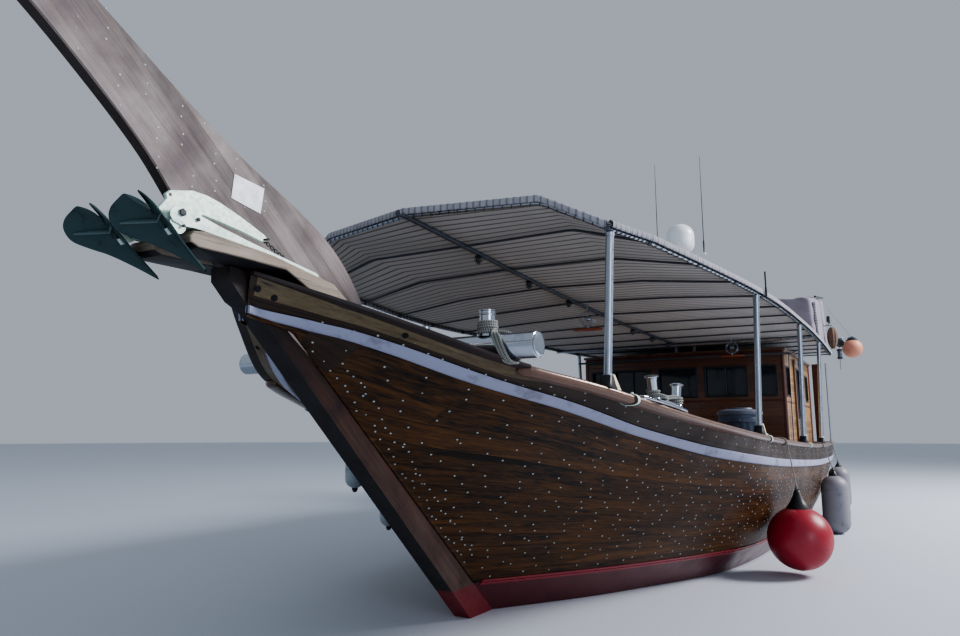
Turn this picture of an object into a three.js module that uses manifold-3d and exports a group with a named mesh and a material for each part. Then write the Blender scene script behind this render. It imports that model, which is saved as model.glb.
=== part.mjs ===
// Wooden motor dhow with a raked stem head, an awning over the deck and a wheelhouse aft.
// Millimetres. +X is forward, +Y is port, +Z is up. The origin is on the waterline amidships.
import * as THREE from "three";
import { ConvexGeometry } from "three/addons/geometries/ConvexGeometry.js";
import { mergeVertices } from "three/addons/utils/BufferGeometryUtils.js";
import Module from "manifold-3d";

const wasm = await Module();
wasm.setup();

// Driving dimensions
const sternX = -10300;
const bowX = 9050; // forward end of the bulwark planking, beside the stem
const gap = 0.3; // clearance between touching pieces
const stemSiding = 220; // thickness of the stem and keel timbers
const keelBottom = -1700;
const rabbetDepth = -1300; // height of the rabbet line amidships
const capHeight = 90;
const capWidth = 190;
const capOut = 40; // how far the cap rail stands out over the planking
const wall = 60; // bulwark and transom planking
const deckPlank = 60;
const headHeight = 400; // bulwark height at the bow
const waistHeight = 600; // bulwark height amidships and aft

// Hull stations: x, half beam at the sheer, height of the sheer, fullness of the section
const stations = [
  { x: -10300, halfBeam: 2730, sheer: 1860, fullness: 2.3 },
  { x: -7000, halfBeam: 2890, sheer: 1870, fullness: 2.6 },
  { x: -3000, halfBeam: 2980, sheer: 1900, fullness: 2.8 },
  { x: 1000, halfBeam: 2930, sheer: 2020, fullness: 2.3 },
  { x: 3000, halfBeam: 2800, sheer: 2140, fullness: 1.24 },
  { x: 5000, halfBeam: 2480, sheer: 2340, fullness: 0.78 },
  { x: 6300, halfBeam: 2060, sheer: 2570, fullness: 0.78 },
  { x: 7300, halfBeam: 1560, sheer: 2760, fullness: 0.8 },
  { x: 8300, halfBeam: 800, sheer: 3120, fullness: 0.85 },
  { x: 9050, halfBeam: 150, sheer: 3390, fullness: 0.95 },
];
const hullLines = new THREE.CubicInterpolant(
  stations.map((s) => s.x),
  stations.flatMap((s) => [s.halfBeam, s.sheer, s.fullness]),
  3,
);

const clamp = THREE.MathUtils.clamp;
const beamAt = (x) => hullLines.evaluate(x)[0];
const sheerAt = (x) => hullLines.evaluate(x)[1];
const bulwarkAt = (x) => THREE.MathUtils.lerp(waistHeight, headHeight, clamp((x - 2000) / 6000, 0, 1));
const deckAt = (x) => sheerAt(x) - bulwarkAt(x);

// Rabbet line: the raked stem, rounded into the level keel, then rising to the stern
function rabbetAt(x) {
  const stem = 380 + (x - 5500) / 1.183;
  const bend = 350;
  const forefoot = rabbetDepth + bend * Math.log1p(Math.exp((stem - rabbetDepth) / bend));
  const run = clamp((-5000 - x) / 5300, 0, 1);
  return forefoot + 950 * run ** 1.5;
}
const skinFoot = (x) => Math.min(rabbetAt(x), sheerAt(x) - 300);

// Half breadth of the planking at a height: a power curve from the rabbet out to the sheer
function skinAt(x, z) {
  const foot = skinFoot(x);
  const rise = clamp((z - foot) / (sheerAt(x) - foot), 0, 1);
  const half = stemSiding / 2;
  return half + (beamAt(x) - half) * (1 - (1 - rise) ** hullLines.evaluate(x)[2]);
}

// At the bow the planks lap the sides of the stem
const stemClear = stemSiding / 2 + 5;
const plankAt = (x, z) => Math.max(skinAt(x, z), stemClear + 15);

const spread = (from, to, count) => Array.from({ length: count + 1 }, (_, i) => from + ((to - from) * i) / count);

// Solids
function weld(geometry) {
  const plain = geometry.clone();
  plain.deleteAttribute("normal");
  plain.deleteAttribute("uv");
  return mergeVertices(plain, 0.001);
}
function toSolid(geometry) {
  const welded = weld(geometry);
  const vertProperties = new Float32Array(welded.attributes.position.array);
  const triVerts = new Uint32Array(welded.index.array);
  return new wasm.Manifold(new wasm.Mesh({ numProp: 3, vertProperties, triVerts }));
}
function toGeometry(solid) {
  const mesh = solid.getMesh();
  const geometry = new THREE.BufferGeometry();
  geometry.setAttribute("position", new THREE.BufferAttribute(new Float32Array(mesh.vertProperties), 3));
  geometry.setIndex(new THREE.BufferAttribute(new Uint32Array(mesh.triVerts), 1));
  geometry.computeVertexNormals();
  return geometry;
}
const join = (...geometries) => toGeometry(geometries.map(toSolid).reduce((a, b) => a.add(b)));
const cut = (base, ...tools) => toGeometry(tools.map(toSolid).reduce((a, b) => a.subtract(b), toSolid(base)));

// A closed body through a row of rings, each with the same number of points, ends closed flat
function loft(rings) {
  const count = rings[0].length;
  const index = [];
  for (let i = 0; i + 1 < rings.length; i++) {
    for (let j = 0; j < count; j++) {
      const k = (j + 1) % count;
      const [a, b, c, d] = [i * count + j, i * count + k, (i + 1) * count + j, (i + 1) * count + k];
      // the diagonal climbs with the rings on every face, so that facing pieces match
      if (rings[i][k].z >= rings[i][j].z) index.push(a, b, d, a, d, c);
      else index.push(a, b, c, b, d, c);
    }
  }
  const flat = (ring) => new THREE.Vector3().crossVectors(
    new THREE.Vector3().subVectors(ring[1], ring[0]), new THREE.Vector3().subVectors(ring.at(-1), ring[0]));
  for (const [ring, start, turn] of [[rings[0], 0, true], [rings.at(-1), (rings.length - 1) * count, false]]) {
    const normal = flat(ring);
    const axes = [Math.abs(normal.x), Math.abs(normal.y), Math.abs(normal.z)];
    const drop = axes.indexOf(Math.max(...axes));
    const outline = ring.map((p) => new THREE.Vector2(...p.toArray().filter((_, axis) => axis !== drop)));
    const mirrored = THREE.ShapeUtils.isClockWise(outline);
    for (const [a, b, c] of THREE.ShapeUtils.triangulateShape(mirrored ? outline.slice().reverse() : outline, [])) {
      const at = (n) => start + (mirrored ? count - 1 - n : n);
      const face = [at(a), at(b), at(c)];
      const inward = mirrored ? turn : !turn;
      index.push(...(inward ? face : face.reverse()));
    }
  }
  const geometry = new THREE.BufferGeometry();
  geometry.setAttribute("position", new THREE.Float32BufferAttribute(rings.flat().flatMap((p) => p.toArray()), 3));
  geometry.setIndex(index);
  const solid = toSolid(geometry);
  return toGeometry(solid);
}
function box(x0, x1, y0, y1, z0, z1) {
  const geometry = new THREE.BoxGeometry(x1 - x0, y1 - y0, z1 - z0);
  return geometry.translate((x0 + x1) / 2, (y0 + y1) / 2, (z0 + z1) / 2);
}
// An outline of [x, z] points carried across the boat from y0 to y1
function slab(points, y0, y1) {
  const shape = new THREE.Shape(points.map(([x, z]) => new THREE.Vector2(x, z)));
  const geometry = new THREE.ExtrudeGeometry(shape, { depth: y1 - y0, bevelEnabled: false });
  return geometry.rotateX(Math.PI / 2).translate(0, y1, 0);
}
function rod(from, to, radius, sides = 12, topRadius = radius) {
  const start = new THREE.Vector3(...from);
  const line = new THREE.Vector3(...to).sub(start);
  const geometry = new THREE.CylinderGeometry(topRadius, radius, line.length(), sides);
  geometry.translate(0, line.length() / 2, 0);
  geometry.applyQuaternion(new THREE.Quaternion().setFromUnitVectors(new THREE.Vector3(0, 1, 0), line.normalize()));
  return geometry.translate(...from);
}
// A round bar through points, mitred at each one
function sweep(points, radius, sides) {
  const path = points.map((p) => new THREE.Vector3(...p));
  const rings = path.map((point, i) => {
    const tangent = new THREE.Vector3();
    if (i > 0) tangent.add(point.clone().sub(path[i - 1]).normalize());
    if (i + 1 < path.length) tangent.add(path[i + 1].clone().sub(point).normalize());
    tangent.normalize();
    const across = new THREE.Vector3(0, 0, 1).cross(tangent).normalize();
    const over = tangent.clone().cross(across);
    return spread(0, 2 * Math.PI, sides).slice(0, sides).map((angle) => point.clone()
      .addScaledVector(across, radius * Math.cos(angle)).addScaledVector(over, radius * Math.sin(angle)));
  });
  return loft(rings);
}
const turned = (profile, sides) =>
  new THREE.LatheGeometry(profile.map(([r, z]) => new THREE.Vector2(r, z)), sides).rotateX(Math.PI / 2);
const mirrorY = (geometry) => {
  const flipped = geometry.clone().scale(1, -1, 1);
  const corners = flipped.index.array;
  for (let i = 0; i < corners.length; i += 3) [corners[i], corners[i + 1]] = [corners[i + 1], corners[i]];
  return flipped;
};

// Finishes
const finish = (color, roughness, metalness = 0) => () => new THREE.MeshStandardMaterial({ color, roughness, metalness });
const darkPlanking = finish(0x4a2b14, 0.35);
const stemTimber = finish(0x5b3a26, 0.6);
const headTimber = finish(0xa98272, 0.6);
const oiledRail = finish(0x9a6040, 0.35);
const deckTeak = finish(0x8a6a48, 0.7);
const stripePaint = finish(0xc4c6d6, 0.5);
const redPaint = finish(0x9c1f2c, 0.5);
const stainless = finish(0xc6ccd2, 0.2, 1);
const galvanised = finish(0xd4e4dc, 0.5, 0.6);
const anchorSteel = finish(0x23383c, 0.6, 0.5);
const canvas = finish(0x8d8a88, 0.9);
const joinery = finish(0x6d3d1c, 0.4);
const darkGlass = finish(0x14201f, 0.1);
const whiteShell = finish(0xf0f2f4, 0.3);
const castIron = finish(0x4c5254, 0.6, 0.7);
const bronze = finish(0x9c7a3c, 0.35, 1);
const greyRubber = finish(0xa7abb2, 0.6);
const redRubber = finish(0xd23a38, 0.5);

const dhow = new THREE.Group();
function add(name, geometry, material) {
  const mesh = new THREE.Mesh(geometry, material());
  mesh.name = name;
  dhow.add(mesh);
  return mesh;
}
const sides = [["port", 1], ["starboard", -1]];
const onSide = (geometry, side) => (side > 0 ? geometry : mirrorY(geometry.index ? geometry : weld(geometry)));
function addPair(stem, geometry, material) {
  for (const [word, side] of sides) add(`${stem}_${word}`, onSide(geometry, side), material);
}

// Propeller aperture, cut in the deadwood ahead of the sternpost
const aperture = { x0: -9950, x1: -9250, floor: -1560 };

// Every sheer-long piece shares these sections, so that they lie against each other
const hullEnd = 8050;
const quarterXs = [sternX, aperture.x0, aperture.x1];
const keelXs = [-8200, -7100, -6000, ...spread(-4800, 3600, 7), ...spread(4200, hullEnd, 10)];
const hullXs = [...quarterXs, ...keelXs];
const sheerXs = [...hullXs, 8250, 8450, 8650, 8860, bowX];

// Boot-top moulding just above the red bottom, and the rub strake below the bulwark's head
const bootTop = 380;
const bootHalf = 28;
// x, drop of the strake's top below the sheer, depth of the strake: it rises to the cap and narrows forward
const strakeTable = [
  { x: -10300, drop: 380, deep: 115 },
  { x: -5000, drop: 340, deep: 115 },
  { x: -1000, drop: 312, deep: 115 },
  { x: 2000, drop: 305, deep: 112 },
  { x: 3500, drop: 280, deep: 104 },
  { x: 5000, drop: 216, deep: 76 },
  { x: 6400, drop: 160, deep: 72 },
  { x: 7400, drop: 122, deep: 70 },
  { x: 8000, drop: 124, deep: 66 },
  { x: 8500, drop: 160, deep: 64 },
  { x: 9050, drop: 280, deep: 64 },
];
const strakeLine = new THREE.CubicInterpolant(
  strakeTable.map((s) => s.x),
  strakeTable.flatMap((s) => [s.drop, s.deep]),
  2,
);
const strakeTop = (x) => sheerAt(x) - strakeLine.evaluate(x)[0];
const strakeFoot = (x) => strakeTop(x) - strakeLine.evaluate(x)[1];

// Hull: solid up to the underside of the deck, with a well for the engine
const engineRoom = { x0: -7000, x1: -4700, half: 700, floor: -950 };
const hullTop = (x) => deckAt(x) - deckPlank;
const hullRows = (x) => {
  const [low, high] = [rabbetAt(x), hullTop(x)];
  const split = bootTop - bootHalf;
  if (low > split) return spread(low, high, 11);
  return [...spread(low, split, 5), ...spread(bootTop + bootHalf, high, 5)];
};
const hullRings = hullXs.map((x) => {
  const half = hullRows(x).map((z) => new THREE.Vector3(x, skinAt(x, z), z));
  return [...half, ...half.map((p) => new THREE.Vector3(p.x, -p.y, p.z)).reverse()];
});
const well = box(engineRoom.x0, engineRoom.x1, -engineRoom.half, engineRoom.half, engineRoom.floor, 2000);
add("hull", cut(loft(hullRings), well), darkPlanking);
add("engine", box(-6700, -5000, -450, 450, engineRoom.floor + gap, 150), castIron);

// Keel, stem and sternpost: one profile, its inner edge along the rabbet
const postX = -10450; // after face of the sternpost
const postTop = 1000;
const shaftZ = -1120;
const shaftRadius = 40;
const rabbetPoint = (x) => [x + gap, rabbetAt(x) - gap];
const stemHead = [[8880, 3190], [8900, 3380], [9230, 3400]];
const backbone = [
  ...[sternX, aperture.x0].map(rabbetPoint),
  [aperture.x0, aperture.floor],
  [aperture.x1, aperture.floor],
  ...[aperture.x1, ...keelXs].map(rabbetPoint),
  ...stemHead,
  [9225, 3290],
  [9080, 3150],
  [8930, 3080],
  [8750, 2910],
  [5560, 0],
  [4350, -1150],
  [3900, -1500],
  [3300, keelBottom],
  [postX, keelBottom],
  [postX, postTop],
  [sternX - wall - gap, postTop],
  [sternX - wall - gap, rabbetAt(sternX) - gap],
];
const shaftBore = rod([aperture.x1 - 10, 0, shaftZ], [aperture.x1 + 160, 0, shaftZ], shaftRadius + 1, 16);
const rudderAxisX = -10520;
const pintleRadius = 32;
const gudgeons = [-1250, -150, 850]; // heights of the rudder's hangings
const gudgeonHalf = 40;
const gudgeonRadius = 54;
const gudgeonPlates = gudgeons.flatMap((z) => [
  box(rudderAxisX, postX + 60, -50, 50, z - gudgeonHalf, z + gudgeonHalf),
  rod([rudderAxisX, 0, z - gudgeonHalf], [rudderAxisX, 0, z + gudgeonHalf], gudgeonRadius, 24),
]);
const pintleBore = rod([rudderAxisX, 0, keelBottom], [rudderAxisX, 0, postTop], pintleRadius + 1, 16);
const timbers = slab(backbone, -stemSiding / 2, stemSiding / 2);
add("keel_and_stem", cut(join(timbers, ...gudgeonPlates), shaftBore, pintleBore), stemTimber);

// Rudder: a stock in the gudgeons and a blade notched round them
const bladeAft = -11250;
const blade = slab([
  [rudderAxisX, -1640], [bladeAft + 60, -1560], [bladeAft, -1200], [bladeAft + 80, -300],
  [rudderAxisX - 330, 350], [rudderAxisX - 230, 1080], [rudderAxisX, 1080],
], -45, 45);
const notches = gudgeons.map((z) =>
  box(rudderAxisX - gudgeonRadius - 8, rudderAxisX + 200, -120, 120, z - gudgeonHalf - 12, z + gudgeonHalf + 12));
const stock = rod([rudderAxisX, 0, -1640], [rudderAxisX, 0, 1080], pintleRadius, 16);
add("rudder", join(cut(blade, ...notches), stock), darkPlanking);

// Propeller: hub, tail shaft and four blades, each a thin plate set at a pitch angle
const propeller = { hubX: -9600, radius: 400, hubRadius: 90, blades: 4, pitch: 0.6 };
const propellerParts = [
  rod([propeller.hubX - 90, 0, shaftZ], [propeller.hubX + 120, 0, shaftZ], propeller.hubRadius, 16, 75),
  rod([propeller.hubX, 0, shaftZ], [aperture.x1 + 150, 0, shaftZ], shaftRadius, 16),
];
for (let i = 0; i < propeller.blades; i++) {
  const outline = new THREE.Shape();
  outline.moveTo(-45, 40);
  outline.quadraticCurveTo(-190, 300, -40, propeller.radius - 15);
  outline.quadraticCurveTo(20, propeller.radius + 5, 70, propeller.radius - 40);
  outline.quadraticCurveTo(170, 240, 45, 40);
  const plate = new THREE.ExtrudeGeometry(outline, { depth: 16, bevelEnabled: false, curveSegments: 5 });
  plate.translate(0, 0, -8).rotateX(Math.PI / 2).rotateZ(propeller.pitch);
  plate.rotateX((i * 2 * Math.PI) / propeller.blades).translate(propeller.hubX, 0, shaftZ);
  propellerParts.push(plate);
}
add("propeller", join(...propellerParts), bronze);

// A run of stations is cut in two at a joint, which stays a hair open
const fromTo = (xs, joint) => [
  ["aft", [...xs.filter((x) => x < joint), joint - gap / 2]],
  ["fore", [joint + gap / 2, ...xs.filter((x) => x > joint)]],
];

// Deck: planking over the hull, between the bulwarks, in a main deck and a foredeck
const deckJoint = 3600;
const deckRing = (x) => {
  const [under, top] = [hullTop(x) + gap, deckAt(x)];
  const half = [[skinAt(x, under) - wall - 8, under], [skinAt(x, top) - wall - 8, top], [0, top]];
  const ring = [...half, ...half.slice(0, 2).map(([y, z]) => [-y, z]).reverse(), [0, under]];
  return ring.map(([y, z]) => new THREE.Vector3(x, y, z));
};
for (const [end, xs] of fromTo(hullXs, deckJoint)) add(`deck_${end}`, loft(xs.map(deckRing)), deckTeak);
const deckClear = loft(hullXs.map(deckRing)).translate(0, 0, gap);

// Bulwarks: planking above the deck edge, in two lengths a side
const bulwarkJoint = 1200;
const bulwarkRing = (x) => {
  const foot = Math.min(Math.max(hullTop(x) + gap, skinFoot(x)), strakeFoot(x) - 1);
  const heights = [foot, strakeFoot(x), strakeTop(x), sheerAt(x) - capHeight - gap];
  const outer = heights.map((z) => new THREE.Vector3(x, plankAt(x, z), z));
  const inner = heights.map((z) => new THREE.Vector3(x, Math.max(skinAt(x, z) - wall, stemClear), z)).reverse();
  return [...outer, ...inner];
};
for (const [end, xs] of fromTo(sheerXs, bulwarkJoint)) addPair(`bulwark_${end}`, loft(xs.map(bulwarkRing)), darkPlanking);

// Transom: a board across the stern, outside the hull's end
const transomHeights = spread(rabbetAt(sternX) + 4, sheerAt(sternX) - capHeight - gap, 9);
const transomRing = (x) => {
  const half = transomHeights.map((z) => new THREE.Vector3(x, skinAt(sternX, z), z));
  return [...half, ...half.map((p) => new THREE.Vector3(p.x, -p.y, p.z)).reverse()];
};
add("transom", loft([transomRing(sternX - wall), transomRing(sternX - gap)]), darkPlanking);

// Cap rail: a flat dark cap on the bow, round and varnished from the bitts aft
const capSection = (x) => {
  const round = clamp((7400 - x) / 400, 0, 1) * 28;
  const [outer, inner] = [capOut, capOut - capWidth];
  return [
    [outer, -capHeight + round], [outer, -round], [outer - round, 0], [inner + round, 0],
    [inner, -round], [inner, -capHeight + round], [inner + round, -capHeight], [outer - round, -capHeight],
  ];
};
const capRings = [sternX - wall, ...sheerXs.slice(1)].map((x) =>
  capSection(x).map(([out, up]) => new THREE.Vector3(x, Math.max(beamAt(x) + out, 116), sheerAt(x) + up)));
addPair("cap_rail", loft(capRings), oiledRail);
const railUp = loft(capRings).translate(0, 0, gap);
const sternBeam = beamAt(sternX) - capWidth + capOut - gap;
add("cap_rail_stern",
  box(sternX - wall - 30, sternX + 90, -sternBeam, sternBeam, sheerAt(sternX) - capHeight, sheerAt(sternX)),
  oiledRail);

// Rub strake and boot-top moulding: offsets from the planking, [out, height]
function moulding(xs, section) {
  return loft(xs.map((x) => section(x).map(([out, z, seat]) => new THREE.Vector3(x, plankAt(x, seat) + out, z))));
}
addPair("rub_strake", moulding(sheerXs, (x) => {
  const [low, high] = [strakeFoot(x), strakeTop(x)];
  return [[25, low, low], [25, high, high], [gap, high, high], [gap, low, low]];
}), stripePaint);
addPair("boot_top_moulding", moulding(hullXs.filter((x) => x < 5500), () => {
  const [low, high] = [bootTop - bootHalf, bootTop + bootHalf];
  return [[18, low, low], [28, bootTop, bootTop], [18, high, high], [gap, high, high], [gap, low, low]];
}), redPaint);

// Stem head: the wide board that carries on the line of the stem
const boardHalf = 50;
const deckRest = (x) => deckAt(x) + gap;
const board = [
  [7450, deckRest(7450) + 5], [7665, deckRest(7665)], [hullEnd + gap, deckRest(hullEnd)], [hullEnd + gap, rabbetAt(hullEnd) + gap],
  ...stemHead.map(([x, z]) => [x - gap, z + gap]),
  [9600, 3690], [9990, 4110], [10320, 4390], [10610, 4620], [10870, 4800], [11300, 5110], [11700, 5420], [11980, 5660],
  [12020, 5760], [11960, 5850], [11820, 5860], [11400, 5620], [10900, 5310],
  [10400, 5030], [9850, 4730], [9170, 4370], [8840, 4230], [8470, 4080], [8070, 3880], [7780, 3650], [7540, 3370],
];
add("stem_head_board", slab(board, -boardHalf, boardHalf), headTimber);

// Anchor timbers: a long timber each side of the head, rounded at the nose
const timberInner = boardHalf + gap;
const timberOuter = 360;
const anchorTimber = slab([
  [8050, 3230], [8560, 3270], [8870, 3402], [9230, 3406], [9720, 3400], [9790, 3425], [9800, 3470], [9770, 3515],
  [9660, 3535], [9000, 3495], [8300, 3390],
], timberInner, timberOuter);
addPair("anchor_timber", anchorTimber, headTimber);

// Bow roller: a long channel on the timber with a rounded cheek at the nose
const rollerInner = 200;
const rollerOuter = 340;
addPair("bow_roller", slab([
  [8480, 3417 + gap], [9000, 3495 + gap], [9660, 3535 + gap], [9830, 3550], [9900, 3565], [9940, 3620], [9900, 3650],
  [9700, 3640], [9000, 3535], [8480, 3450],
], rollerInner, rollerOuter), galvanised);

// Plough anchor: a curved shank lying on the roller, and a fluke of two wings ahead of it
const shankY = (rollerInner + rollerOuter) / 2;
const shank = slab([
  [9080, 3610], [9640, 3650], [9880, 3660], [10000, 3600], [10090, 3480], [10150, 3500],
  [10080, 3690], [10010, 3780], [9850, 3800], [9640, 3780], [9360, 3710], [9060, 3640],
], shankY - 18, shankY + 18);
// One wing: an outline of [along the share, out from it], falling from the ridge on each side
const wing = [
  [0, -10], [170, 70], [340, 160], [450, 240], [560, 300], [660, 280], [720, 220], [750, 140], [760, 70], [550, -10],
];
const share = { tip: [9580, shankY, 3262], rake: 0.617, fall: 0.48, thick: 14 };
function wingPlate(side) {
  const shape = new THREE.Shape(wing.map(([u, v]) => new THREE.Vector2(u, v)));
  const plate = new THREE.ExtrudeGeometry(shape, { depth: share.thick, bevelEnabled: false });
  plate.translate(0, 0, -share.thick);
  plate.rotateX(-share.fall).rotateY(-share.rake);
  return (side > 0 ? plate : mirrorY(weld(plate))).translate(...share.tip);
}
const shareHeel = rod([9940, shankY, 3490], [10050, shankY, 3620], 26, 8);
addPair("anchor", join(shank, shareHeel, wingPlate(1), wingPlate(-1)), anchorSteel);

// Bitt beam: a large tube across the bow, with a bollard post towards each end
const bittX = 7270;
const bitt = { x: bittX, z: sheerAt(bittX) + 128, radius: 120, reach: 1860 };
add("bitt_beam", cut(join(
  rod([bitt.x, -bitt.reach, bitt.z], [bitt.x, bitt.reach, bitt.z], bitt.radius, 24),
  ...[1, -1].flatMap((side) => [
    rod([bitt.x, side * 1320, bitt.z], [bitt.x, side * 1320, bitt.z + 330], 75, 16),
    rod([bitt.x, side * 500, deckAt(bitt.x) - 20], [bitt.x, side * 500, bitt.z], 70, 16),
  ]),
), deckClear), stainless);

// Awning posts stand on the cap rail at these places
const postXs = [6160, 2240, -1700, -5280];
const postRadius = 42;
const footHeight = 90;

// Awning roof: a station each with the ridge, the knee where the front falls, and the edge
const roof = [
  { x: -9700, ridge: 4330, kneeY: 1450, knee: 4330, edgeY: 2850, edge: 4350 },
  { x: -5300, ridge: 4230, kneeY: 1500, knee: 4230, edgeY: 2980, edge: 4240 },
  { x: -1700, ridge: 4210, kneeY: 1500, knee: 4200, edgeY: 2990, edge: 4190 },
  { x: 2240, ridge: 4290, kneeY: 1500, knee: 4230, edgeY: 2880, edge: 4115 },
  { x: 6800, ridge: 4500, kneeY: 1450, knee: 4530, edgeY: 2120, edge: 4200 },
];
const roofLines = new THREE.CubicInterpolant(
  roof.map((r) => r.x),
  roof.flatMap((r) => [r.ridge, r.kneeY, r.knee, r.edgeY, r.edge]),
  5,
);
function roofAt(x) {
  const [ridge, kneeY, knee, edgeY, edge] = roofLines.evaluate(x);
  return { ridge, kneeY, knee, edgeY, edge };
}
// Awning frame: ridge pole, edge tubes, front tube and rafters, welded together
const frameDrop = 34; // the tubes lie under the canvas
const tubeRadius = 26;
const ridgeRadius = 30;
const rafterRadius = 20;
const ridgeOver = 120; // the ridge pole stands out at the front
const rafterXs = spread(-8700, 5550, 12);
const front = roof.at(-1);
// ahead of the last rafter the awning's corners are drawn back, so that its front is bowed
const cornerBack = 0.285;
const lastRafter = rafterXs.at(-1);
const drawnBack = (x, y) => x - (cornerBack * Math.abs(y) * Math.max(0, x - lastRafter)) / (front.x - lastRafter);
// the station whose edge is drawn back to x
function edgeStation(x) {
  let station = x;
  for (let i = 0; i < 20; i += 1) station += x - drawnBack(station, roofAt(station).edgeY);
  return station;
}
const roofPoint = (x, y, z) => [drawnBack(x, y), y, z - frameDrop];
const tubeXs = [roof[0].x, ...rafterXs, front.x];
const edgeTube = (side, radius) =>
  sweep(tubeXs.map((x) => roofPoint(x, side * roofAt(x).edgeY, roofAt(x).edge)), radius, 8);
const roofTubes = [edgeTube(-1, tubeRadius), edgeTube(1, tubeRadius)];
roofTubes.push(sweep([...tubeXs, front.x + ridgeOver].map((x) => roofPoint(x, 0, roofAt(x).ridge)), ridgeRadius, 8));
function rafter(x, radius) {
  const { ridge, kneeY, knee, edgeY, edge } = roofAt(x);
  const line = [[-edgeY, edge], [-kneeY, knee], [0, ridge], [kneeY, knee], [edgeY, edge]];
  return sweep(line.map(([y, z]) => roofPoint(x, y, z)), radius, 6);
}
add("awning_frame", join(...roofTubes, ...tubeXs.map((x) => rafter(x, rafterRadius))), stainless);

// Twin bollards on the cap rail, leaning apart, their base coped to the rail
const railMiddle = (x) => beamAt(x) + capOut - capWidth / 2;
const twin = { x: 5230, half: 420, width: 110, base: 66, lean: 60, spread: 215, rise: 250, radius: 50 };
const twinBase = loft(spread(twin.x - twin.half, twin.x + twin.half, 4).map((x) => {
  const [y, z] = [railMiddle(x), sheerAt(x)];
  return [[-1, -20], [1, -20], [1, twin.base], [-1, twin.base]].map(([side, up]) =>
    new THREE.Vector3(x, y + (side * twin.width) / 2, z + up));
}));
const twinBollards = cut(join(
  twinBase,
  ...[-1, 1].flatMap((way) => {
    const foot = twin.x + way * twin.spread;
    const at = (up) => [foot + (way * twin.lean * up) / twin.rise, railMiddle(foot), sheerAt(foot) + 40 + up];
    return [rod(at(0), at(twin.rise), twin.radius, 16), rod(at(twin.rise - 12), at(twin.rise + 14), twin.radius + 24, 16)];
  }),
), railUp);
addPair("twin_bollards", twinBollards, stainless);

// Awning posts: a foot coped to the cap rail and a head coped to the edge tube and the front tube
const tubeClear = join(edgeTube(1, tubeRadius + gap), rafter(front.x, rafterRadius + 4 * gap));
postXs.forEach((x, i) => {
  const [y, foot] = [railMiddle(x), sheerAt(x)];
  const { edgeY, edge } = roofAt(edgeStation(x));
  const shape = cut(join(
    rod([x, y, foot], [x, edgeY, edge - frameDrop], postRadius, 12),
    box(x - 90, x + 90, y - 60, y + 60, foot - 40, foot + footHeight),
  ), railUp, tubeClear);
  for (const [word, side] of sides) add(`awning_post_${i + 1}_${word}`, onSide(shape, side), stainless);
});

// Awning canvas: a thin sheet lying on the ridge pole, a little longer and wider than its frame
const canvasThick = 12;
const canvasLift = ridgeRadius + gap - frameDrop;
const canvasOver = 45;
const canvasXs = [front.x + 40, ...tubeXs.slice().reverse(), tubeXs[0] - 60];
const canvasRings = (low, high) => canvasXs.map((x) => {
  const { ridge, kneeY, knee, edgeY, edge } = roofAt(x);
  const half = [[0, ridge], [kneeY, knee], [edgeY + canvasOver, edge]];
  const over = [...half.slice(1).map(([y, z]) => [-y, z]).reverse(), ...half];
  const skin = (lift) => over.map(([y, z]) => new THREE.Vector3(drawnBack(x, y), y, z + lift));
  return [...skin(high), ...skin(low).reverse()];
});
const canvasSheet = loft(canvasRings(canvasLift, canvasLift + canvasThick));

// Wheelhouse: walls with their windows cut, a roof and sliding side doors
const house = { front: -4200, aft: -8900, half: 2330, wall: 60, roofBottom: 3930, roofTop: 3990, bow: 130 };
const houseFoot = 1245; // the walls are cut to the deck's line
const sill = 2930;
const lintel = 3600;
const doorway = { x0: -6650, x1: -5850, top: 3760, foot: houseFoot + 200 };
const frontPanes = [[-2180, -1740], [-1560, -640], [-450, 450], [640, 1560], [1740, 2180]]; // [from y, to y]
const sidePanes = [[-5000, -4480], [-8500, -8000]]; // [from x, to x]
const aftPanes = [[-1700, -700], [700, 1700]];
const innerHalf = house.half - house.wall;
// the front is slightly bowed in plan
const frontOutline = new THREE.Shape();
frontOutline.moveTo(-house.half, house.front - house.wall);
frontOutline.lineTo(-house.half, house.front);
frontOutline.quadraticCurveTo(0, house.front + 2 * house.bow, house.half, house.front);
frontOutline.lineTo(house.half, house.front - house.wall);
frontOutline.quadraticCurveTo(0, house.front - house.wall + 2 * house.bow, -house.half, house.front - house.wall);
const plan = (shape, z0, z1) => {
  const geometry = new THREE.ExtrudeGeometry(shape, { depth: z1 - z0, bevelEnabled: false, curveSegments: 10 });
  return geometry.applyMatrix4(new THREE.Matrix4().set(0, 1, 0, 0, 1, 0, 0, 0, 0, 0, -1, z1, 0, 0, 0, 1));
};
const frontHoles = frontPanes.map(([y0, y1]) => box(house.front - 200, house.front + 400, y0, y1, sill, lintel));
add("wheelhouse_front", cut(plan(frontOutline, houseFoot, house.roofBottom), deckClear, ...frontHoles), joinery);
const sideWall = box(house.aft, house.front - house.wall - gap, innerHalf, house.half, houseFoot, house.roofBottom);
const sideHoles = sidePanes.map(([x0, x1]) => box(x0, x1, innerHalf - 50, house.half + 50, sill, lintel));
const doorHole = box(doorway.x0, doorway.x1, innerHalf - 50, house.half + 50, doorway.foot, doorway.top);
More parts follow.
